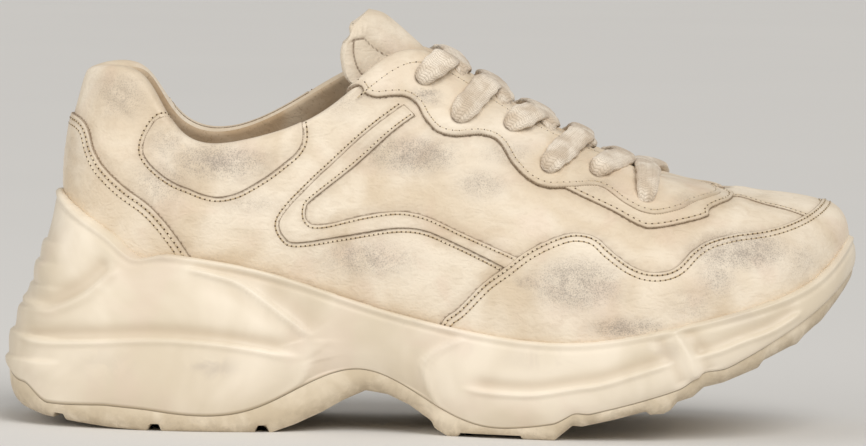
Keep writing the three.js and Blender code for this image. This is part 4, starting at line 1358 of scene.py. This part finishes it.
def ceiling_at(points):
    """Height just under the wall over plan points; very high where the upper is open."""
    s, v = np.meshgrid(np.arange(4, 16.01, 0.04), np.arange(0.6, 1.001, 0.01), indexing="ij")
    p = wall_point(s, v)
    n = wall_normal(s, v)
    under = p[..., 2] - (wall_thickness(s, v) + GAP + 0.4) / np.maximum(0.4, n[..., 2])
    flat = p.reshape(-1, 3)
    tree = KDTree(len(flat))
    for i, (x, y, _) in enumerate(flat):
        tree.insert((x, y, 0), i)
    tree.balance()
    out = np.full(len(points), 1e3)
    for i, (x, y, _) in enumerate(points):
        _, k, gap = tree.find((x, y, 0))
        if gap < 1.2:
            out[i] = under.ravel()[k]
    return out


TONGUE_ROWS = 220
TONGUE_COLUMNS = 101
# Top seam of the tongue: share of its half width, share of its length.
TONGUE_SEAM = [(0.0, 0.5), (0.45, 0.55), (0.63, 0.73), (0.76, 0.865), (0.88, 0.89), (1.0, 0.9)]
PIPING = 0.9  # share of the half width where the edge strip is sewn on
PIPING_ENDS = (0.62, 0.9)


def tongue_lines(grid, shares):
    """The tongue's seam and the line of its two edge strips, as points in space."""
    reach, level = zip(*TONGUE_SEAM)
    spots = [(k, np.interp(abs(q), reach, level) * (TONGUE_ROWS - 1)) for k, q in enumerate(shares)]
    lines = [curve([(1 - r % 1) * grid[int(r), k] + r % 1 * grid[min(int(r) + 1, TONGUE_ROWS - 1), k]
                    for k, r in spots if abs(shares[k]) > 0.4 and shares[k] * side > 0], 0.4)
             for side in (-1, 1)]
    first, last = (int(share * TONGUE_ROWS) for share in PIPING_ENDS)
    for side in (-1, 1):
        k = int(np.abs(shares - side * PIPING).argmin())
        lines.append(curve(grid[first:last:4, k], 0.4))
    return np.concatenate(lines)


def build_tongue(leather):
    """Padded tongue: thin and flat under the laces, plump above them, its top edge turned over."""
    table = [list(row) for row in TONGUE]
    for row in table:
        if row[4] == 0:
            row[4] = float(min(ceiling_at(np.array([[row[2], -row[3], 0]]))[0], row[1] - 4))
    rows = smooth_rows(table, TONGUE_ROWS)
    shares = np.sin(np.linspace(-1, 1, TONGUE_COLUMNS) * math.pi / 2)
    q = shares[None, :]
    x = rows[:, None, 0] + (rows[:, None, 2] - rows[:, None, 0]) * q ** 2
    y = rows[:, None, 3] * q
    z = rows[:, None, 1] + (rows[:, None, 4] - rows[:, None, 1]) * q ** 2
    grid = np.stack(np.broadcast_arrays(x, y, z), -1)
    flat = grid.reshape(-1, 3)
    flat[:, 2] = np.minimum(flat[:, 2], ceiling_at(flat) + 0.1)
    grid = flat.reshape(grid.shape)
    for _ in range(6):
        mean = (grid[:-2, :, 2] + grid[2:, :, 2]) / 2
        grid[1:-1, :, 2] = np.minimum(grid[1:-1, :, 2], (mean + grid[1:-1, :, 2]) / 2)
    out = unit(np.cross(np.gradient(grid, axis=1), np.gradient(grid, axis=0)))
    share = np.linspace(0, 1, TONGUE_ROWS)[:, None]
    edge_in = 1 - np.abs(q)
    gap = distances(grid.reshape(-1, 3), tree_of(tongue_lines(grid, shares))).reshape(grid.shape[:2])
    height = (0.8 * blend(0.62, 0.85, share) * blend(0, 0.25, edge_in)
              - 0.6 * np.exp(-(gap / 0.55) ** 2) * blend(0, 0.1, edge_in))
    # Small pinches where the top seam pulls the leather in.
    pinch = blend(0.5, 1.5, gap) * blend(7, 3, gap) * blend(0.88, 0.92, share) * blend(0.6, 0.7, np.abs(q))
    height = height + 0.14 * pinch * blend(0.04, 0.14, edge_in) * np.sin(2 * math.pi * grid[..., 0] / 1.7)
    height = height - 0.35 * np.exp(-((share - 0.68 - 0.05 * q ** 2) / 0.02) ** 2)
    top = grid + out * height[..., None]
    thick = rows[:, 5][:, None] * (0.35 + 0.65 * np.sqrt(np.clip(1 - q ** 4, 0, 1)))
    bottom = grid - out * thick[..., None]
    ring = np.concatenate([top, bottom[:, ::-1][:, 1:-1]], 1)
    n = ring.shape[1]
    last, before = ring[-1], ring[-4]
    facing = (2 * (TONGUE_COLUMNS - 1) - np.arange(n)) % n
    middle = (last + last[facing]) / 2
    centre = last.mean(0)
    forward = unit((last - before).mean(0))
    rings = list(ring)
    for turn in (15, 30, 45, 60, 72, 82):
        a = math.radians(turn)
        flat_ring = middle + (last - middle) * math.cos(a)
        flat_ring = centre + (flat_ring - centre) * (0.8 + 0.2 * math.cos(a))
        rings.append(flat_ring + forward * 1.2 * math.sin(a))
    points = np.concatenate(rings)
    faces = [loft_faces(len(rings), n)]
    k = TONGUE_COLUMNS
    for first, up in ((0, False), ((len(rings) - 1) * n, True)):
        a = first + np.arange(1, k - 2)
        c = first + n - np.arange(1, k - 2)
        quads = np.stack([a, a + 1, c - 1, c], -1)
        ends = np.array([[first, first + 1, first + n - 1], [first + k - 2, first + k - 1, first + k]])
        faces += [quads, ends] if up else [quads[:, ::-1], ends[:, ::-1]]
    # Distance to the tongue's seams, for the seam dirt and the painted shadow line along them.
    seam = np.full(len(points), 9.0)
    rows_of = np.full((TONGUE_ROWS, n), 9.0)
    rows_of[:, :k] = gap + 2 * blend(0.08, 0.0, edge_in)
    seam[:TONGUE_ROWS * n] = rows_of.ravel()
    grime = 0.15 * blend(0.5, 0.9, points[:, 2] / 150)
    values = {"seam": seam, "grime": grime, "hole": np.full(len(points), 9.0)}
    tongue = make_piece("tongue", points, merge_faces(faces), leather, values)
    hand_in(tongue, "upper_leather", "tongue")
    return tongue


# Where each crossing leaves over one throat edge and goes under the other.
BRINKS = [0.5, 15.5, 33, 50, 66]
DIVES = [9.5, 25.5, 42.5, 55.5, 72.5]


def throat_height(x):
    """Height of the throat edge along the shoe."""
    return float(np.interp(x, [row[0] for row in EDGE[6:11]], [row[2] for row in EDGE[6:11]]))


def throat_column(side, x):
    s = np.linspace(5.2, 9.9, 600)
    s = s[np.abs(spline_at(edge, s)[:, 0] - x).argmin()]
    return STATIONS - s if side else s


def crossing(side, k, over, thick):
    """Lace from eyelet k on one side, over the tongue, to under eyelet k + 1 on the other."""
    outer, inner = eyelet_spots()
    spot = (outer, inner)[side][k]
    at, n = surface(*spot, thick), facing_at(*spot)
    brink = surface(throat_column(side, BRINKS[k]), 0.985, thick + 2.4)
    to = unit(brink - at)
    end_s = throat_column(1 - side, DIVES[k])
    far_edge, far_n = surface(end_s, 1.0), facing_at(end_s, 0.97)
    rise = 5.8 - 0.4 * k if over else 2.8
    slope = unit(np.array([0.45, 0, 1]))
    crown_x, bend_x = brink[0] * 0.62 + far_edge[0] * 0.38, brink[0] * 0.25 + far_edge[0] * 0.75
    crown = np.array([crown_x, 0.15 * brink[1], throat_height(crown_x) + rise])
    bend = np.array([bend_x, 0.6 * far_edge[1], throat_height(bend_x) + 0.75 * rise])
    dive = far_edge * [1, 0.95, 1] + [-0.4, 0, 2.2]
    tuck = far_edge - far_n * 3.4 + [0.8, 0, -1.2]
    under_spot = (inner, outer)[side][k + 1]
    under, under_n = surface(*under_spot, -WALL - 2.2), facing_at(*under_spot)
    brink_n = unit(n + slope)
    return [
        (surface(*spot, -WALL - 1.6), -to, 0.66), (at - n * 0.4, unit(n * 0.4 - to), 0.7),
        (at + n * 2.1 + to * 2.2, unit(n - to * 0.35), 0.98),
        (at * 0.45 + brink * 0.55 + n * 2.0, n, 1.08), (brink + brink_n * 0.6, brink_n, 1.04),
        (crown, slope, 1.0), (bend, unit(slope + far_n * 0.6), 1.0), (dive, unit(far_n + slope), 0.95),
        (tuck, far_n, 0.82), (under * 0.5 + tuck * 0.5 - under_n * 0.4, under_n, 0.85),
        (under, under_n, 0.75),
    ]


def lace_route():
    """Points, facing and squeeze of the lace, from one top eyelet down and back up to the other."""
    outer, inner = eyelet_spots()
    thick = 1.55
    route, back = [], []
    for k in range(5):
        route += crossing(k % 2, k, k % 2 == 1, thick)
        back += crossing(1 - k % 2, k, k % 2 == 0, thick)
    bar = []
    reach = abs(surface(*outer[5])[1])
    for q in (1, 0.72, 0.4, 0, -0.4, -0.72, -1):
        if q == 0:
            p = np.array([EYELETS[5][0], 0, surface(10, 1.0)[2] + 4.6])
            bar.append((p, unit(np.array([0.3, 0, 1])), 1.0))
            continue
        s, v = (outer, inner)[q > 0][5] if abs(q) == 1 else top_spot(EYELETS[5][0], -abs(q) * reach)
        s = STATIONS - s if q > 0 and abs(q) != 1 else s
        lift = thick + (2.2 if abs(q) < 1 else 0.6)
        bar.append((surface(s, v, lift), facing_at(s, v), 0.75 if abs(q) == 1 else 1.02))
    return route + bar + back[::-1]


LACE_SAMPLES = 2400  # places on the smoothed route
LACE_PITCH = 0.62  # mm from ring to ring
LACE_SIDES = 20


def build_lace(cotton, look):
    """One flat woven lace, threaded through all eyelets, its ends stopping at the top pair."""
    route = lace_route()
    points = np.array([p for p, _, _ in route])
    ups = np.array([n for _, n, _ in route])
    squeeze = np.array([w for _, _, w in route])
    steps = np.maximum(0.6, np.linalg.norm(np.diff(points, axis=0), axis=1))
    run = np.concatenate([[0], np.cumsum(steps ** 0.6)])
    dense = np.linspace(0, run[-1], LACE_SAMPLES)
    keys = smooth_through(run, np.concatenate([points, ups, squeeze[:, None]], 1), dense)
    path, up, wide_share = keys[:, :3], keys[:, 3:6], keys[:, 6]
    length = np.concatenate([[0], np.cumsum(np.linalg.norm(np.diff(path, axis=0), axis=1))])
    even = np.arange(0, length[-1], LACE_PITCH)
    path = np.stack([np.interp(even, length, path[:, k]) for k in range(3)], -1)
    up = np.stack([np.interp(even, length, up[:, k]) for k in range(3)], -1)
    wide_share = np.interp(even, length, wide_share)
    along = unit(np.gradient(path, axis=0))
    up = unit(up - along * (up * along).sum(-1, keepdims=True))
    side = np.cross(up, along)
    n = LACE_SIDES
    turn = np.arange(n) * 2 * math.pi / n
    half_w = look.lace_width / MM / 2 * wide_share
    half_t = look.lace_thickness / MM / 2 * (1 + 1.0 * np.clip(0.95 - wide_share, 0, 1))
    ripple = 1 + 0.05 * np.sin(even / 2.3) + 0.04 * np.sin(even / 0.9 + 1)
    c = np.sign(np.cos(turn)) * np.abs(np.cos(turn)) ** 0.8
    d = np.sign(np.sin(turn)) * np.abs(np.sin(turn)) ** 0.8
    rings = (path[:, None] + side[:, None] * (half_w * ripple)[:, None, None] * c[None, :, None]
             + up[:, None] * half_t[:, None, None] * d[None, :, None])
    mesh_points = rings.reshape(-1, 3)
    faces = [loft_faces(len(rings), n)] + lid_faces(0, n, False) + lid_faces((len(rings) - 1) * n, n, True)
    u = np.tile(turn / (2 * math.pi) * 14, len(rings))
    uv = np.stack([u, np.repeat(even, n)], -1)
    lace = make_piece("lace", mesh_points, merge_faces(faces), cotton, uv=uv)
    activate(lace)
    bpy.ops.object.mode_set(mode="EDIT")
    bpy.ops.mesh.select_all(action="SELECT")
    bpy.ops.mesh.normals_make_consistent(inside=False)
    bpy.ops.object.mode_set(mode="OBJECT")
    hand_in(lace, "lace_fabric", *["lace_cross_%d" % k for k in range(1, 6)], "lace_bar")
    return lace


def smooth_through(keys, values, at):
    """Catmull-Rom through values at uneven keys."""
    i = np.clip(np.searchsorted(keys, at, side="right") - 1, 0, len(keys) - 2)
    slope = np.empty_like(values)
    slope[1:-1] = (values[2:] - values[:-2]) / (keys[2:] - keys[:-2])[:, None]
    slope[0] = (values[1] - values[0]) / (keys[1] - keys[0])
    slope[-1] = (values[-1] - values[-2]) / (keys[-1] - keys[-2])
    h = (keys[i + 1] - keys[i])[:, None]
    t = ((at - keys[i]) / (keys[i + 1] - keys[i]))[:, None]
    return ((2 * t ** 3 - 3 * t ** 2 + 1) * values[i] + (t ** 3 - 2 * t ** 2 + t) * h * slope[i]
            + (3 * t ** 2 - 2 * t ** 3) * values[i + 1] + (t ** 3 - t ** 2) * h * slope[i + 1])


# ---------------------------------------------------------------- add-on

def colour_property(name, text, code):
    return bpy.props.FloatVectorProperty(name=name, description=text, subtype="COLOR", size=4,
                                         min=0, max=1, default=linear(code))


class SneakerLook(bpy.types.PropertyGroup):
    """Sizes and colours of the worn sneaker."""

    panel_thickness: bpy.props.FloatProperty(
        name="Panel thickness", description="Thickness of the sewn leather panels",
        default=1.2 * MM, min=0.5 * MM, max=2 * MM, unit="LENGTH", precision=4)
    lace_width: bpy.props.FloatProperty(
        name="Lace width", description="Width of the flat lace where nothing squeezes it",
        default=9.2 * MM, min=5 * MM, max=10 * MM, unit="LENGTH", precision=4)
    lace_thickness: bpy.props.FloatProperty(
        name="Lace thickness", description="Thickness of the flat lace",
        default=3.6 * MM, min=1 * MM, max=4 * MM, unit="LENGTH", precision=4)


COLOURS = {
    "leather": ("Leather", "Waxed calf leather where it is clean", "EEE1CD"),
    "leather_shade": ("Leather shade", "Waxed calf leather where the wax has yellowed", "DCCAB0"),
    "scuff": ("Scuff", "Dust ground into the pores of the leather", "5F5654"),
    # Seam colour: polish and dirt along the seams, and painted shadow at the panel edges and in the needle
    # holes.
    "seam_dirt": ("Seam dirt", "Polish and dirt along the seams", "6A523A"),
    "lining": ("Lining", "Pigskin lining", "BFA483"),
    "foam": ("Midsole", "Paint of the foam midsole", "F1E5D2"),
    "rubber": ("Outsole", "Rubber of the outsole", "E9DBC4"),
    "lace": ("Lace", "Woven cotton lace", "F2E5D3"),
    "thread": ("Thread", "Sewing thread", "E6D7BC"),
}
for key, words in COLOURS.items():
    SneakerLook.__annotations__[key] = colour_property(*words)


# The dirt material is the needle holes' painted shade and polish.
MAKERS = {
    "leather": worn_leather, "lining": lining_leather, "foam": moulded_foam,
    "rubber": moulded_rubber, "cotton": woven_cotton, "cloth": insole_cloth,
    "thread": sewing_thread, "dirt": needle_hole_shade_and_dirt,
}
made_materials = {}


def material_of(kind):
    """The material of a kind, made the first time it is asked for."""
    if kind not in made_materials:
        made_materials[kind] = MAKERS[kind](bpy.context.scene.sneaker_look)
    return made_materials[kind]


class SNEAKER_OT_panels(bpy.types.Operator):
    """Add the sewn leather panels of the upper"""

    bl_idname = "sneaker.panels"
    bl_label = "Leather panels"

    def execute(self, context):
        build_panels(material_of("leather"), context.scene.sneaker_look)
        return {"FINISHED"}


class SNEAKER_OT_upper(bpy.types.Operator):
    """Add the hollow upper with its rolled edge and lining; the panels come first"""

    bl_idname = "sneaker.upper"
    bl_label = "Upper"

    def execute(self, context):
        if not seam_lines:
            # The upper's seam dirt and painted edge shadow follow the panels' edges.
            raise RuntimeError("the panels are made before the upper, whose dirt follows their edges")
        build_upper(material_of("leather"), material_of("lining"))
        return {"FINISHED"}


class SNEAKER_OT_stitches(bpy.types.Operator):
    """Add the thread and the needle holes of every seam"""

    bl_idname = "sneaker.stitches"
    bl_label = "Stitches"

    def execute(self, context):
        for piece in make_stitches(material_of("thread"), material_of("dirt")):
            hand_in(piece, "upper_leather")
        return {"FINISHED"}


class SNEAKER_OT_tongue(bpy.types.Operator):
    """Add the padded tongue"""

    bl_idname = "sneaker.tongue"
    bl_label = "Tongue"

    def execute(self, context):
        build_tongue(material_of("leather"))
        return {"FINISHED"}


class SNEAKER_OT_lace(bpy.types.Operator):
    """Thread the flat lace through the eyelets"""

    bl_idname = "sneaker.lace"
    bl_label = "Lace"

    def execute(self, context):
        build_lace(material_of("cotton"), context.scene.sneaker_look)
        return {"FINISHED"}


class SNEAKER_OT_sole(bpy.types.Operator):
    """Add the midsole, the outsole and the insole"""

    bl_idname = "sneaker.sole"
    bl_label = "Sole"

    def execute(self, context):
        build_midsole(material_of("foam"))
        build_outsole(material_of("rubber"))
        build_insole(material_of("cloth"))
        return {"FINISHED"}


class StageSettings(bpy.types.PropertyGroup):
    """Floor, camera and light round the sneaker."""

    floor_colour: colour_property("Floor", "Pale matt floor", "DEDCD9")
    lens: bpy.props.FloatProperty(
        name="Lens", description="Focal length in millimetres on a 36 mm sensor", default=300, min=50)
    view_width: bpy.props.FloatProperty(
        name="View width", description="Width that the camera sees at the shoe",
        default=0.317, min=0.1, unit="LENGTH")
    view_height: bpy.props.FloatProperty(
        name="View centre", description="Height that the camera looks at",
        default=0.0769, min=0, unit="LENGTH")
    elevation: bpy.props.FloatProperty(
        name="Elevation", description="Camera's angle above the floor",
        default=math.radians(4), subtype="ANGLE")
    roll: bpy.props.FloatProperty(
        name="Roll", description="Camera's turn about its own axis",
        default=math.radians(1.05), subtype="ANGLE")


def stage_material(settings):
    """Matt painted board: an even pale grey."""
    material, tree, shader = new_material("matt_painted_board", 0.85, specular=0.2)
    here = add(tree, "ShaderNodeTexCoord").outputs["Object"]
    cloudy = noise(tree, here, 300, 2)
    base = list(settings.floor_colour)
    darker = [c * 0.97 for c in base[:3]] + [1.0]
    tree.links.new(mix(tree, cloudy, darker, base), shader.inputs["Base Color"])
    return material


def area_light(name, place, target, size, power, colour):
    bpy.ops.object.light_add(type="AREA", location=place)
    lamp = bpy.context.object
    lamp.name = name
    lamp.rotation_euler = (Vector(target) - Vector(place)).to_track_quat("-Z", "Y").to_euler()
    lamp.data.shape = "RECTANGLE"
    lamp.data.size, lamp.data.size_y = size
    lamp.data.energy = power
    lamp.data.color = colour
    return lamp


class SNEAKER_OT_stage(bpy.types.Operator):
    """Add the floor, the soft lights and the camera"""

    bl_idname = "sneaker.stage"
    bl_label = "Stage"

    def execute(self, context):
        settings = context.scene.sneaker_stage
        bpy.ops.object.select_all(action="DESELECT")
        bpy.ops.mesh.primitive_plane_add(size=60, location=(0, 20, 0))
        floor = context.object
        floor.name = "floor"
        bpy.ops.object.transform_apply(location=True)
        floor.data.materials.append(stage_material(settings))

        target = Vector((-0.0007, -0.03, settings.view_height))
        back = Vector((0, -math.cos(settings.elevation), math.sin(settings.elevation)))
        reach = settings.view_width * settings.lens / 36
        bpy.ops.object.camera_add(location=target + back * reach)
        camera = context.object
        camera.data.sensor_width = 36
        camera.data.lens = settings.lens
        camera.data.clip_end = 100
        aim = (-back).to_track_quat("-Z", "Y").to_matrix()
        camera.rotation_euler = (aim @ Matrix.Rotation(settings.roll, 3, "Z")).to_euler()
        context.scene.camera = camera

        bpy.ops.object.light_add(type="SUN", location=(0.6, -1.2, 1.2))
        sun = context.object
        sun.name = "soft_key"
        sun.rotation_euler = Vector((-0.34, 0.62, -0.71)).to_track_quat("-Z", "Y").to_euler()
        sun.data.energy = 1.9
        sun.data.angle = math.radians(42)
        sun.data.color = (1.0, 0.985, 0.96)
        area_light("fill", (-1.4, -0.9, 0.6), (-0.05, 0, 0.06), (1.2, 1.0), 9, (1.0, 0.985, 0.96))
        world = bpy.data.worlds.new("studio")
        world.use_nodes = True
        world.node_tree.nodes["Background"].inputs["Color"].default_value = linear("E6E5E3")
        world.node_tree.nodes["Background"].inputs["Strength"].default_value = 0.5
        context.scene.world = world
        context.scene.view_settings.view_transform = "Standard"
        return {"FINISHED"}


ORDER = ("stage", "panels", "upper", "tongue", "stitches", "sole", "lace")


class SNEAKER_PT_pieces(bpy.types.Panel):
    """Sizes, colours and pieces of the sneaker"""

    bl_label = "Sneaker"
    bl_idname = "SNEAKER_PT_pieces"
    bl_space_type = "VIEW_3D"
    bl_region_type = "UI"
    bl_category = "Sneaker"

    def draw(self, context):
        column = self.layout.column()
        for group in (context.scene.sneaker_look, context.scene.sneaker_stage):
            for key in group.__annotations__:
                column.prop(group, key)
        for name in ORDER:
            column.operator("sneaker." + name)


CLASSES = (
    SneakerLook, StageSettings, SNEAKER_OT_stage, SNEAKER_OT_panels, SNEAKER_OT_upper,
    SNEAKER_OT_tongue, SNEAKER_OT_stitches, SNEAKER_OT_sole, SNEAKER_OT_lace, SNEAKER_PT_pieces,
)


def register():
    for c in CLASSES:
        bpy.utils.register_class(c)
    bpy.types.Scene.sneaker_look = bpy.props.PointerProperty(type=SneakerLook)
    bpy.types.Scene.sneaker_stage = bpy.props.PointerProperty(type=StageSettings)


def unregister():
    del bpy.types.Scene.sneaker_look
    del bpy.types.Scene.sneaker_stage
    for c in reversed(CLASSES):
        bpy.utils.unregister_class(c)


def main():
    register()
    for name in ORDER:
        getattr(bpy.ops.sneaker, name)()


if __name__ == "__main__":
    main()
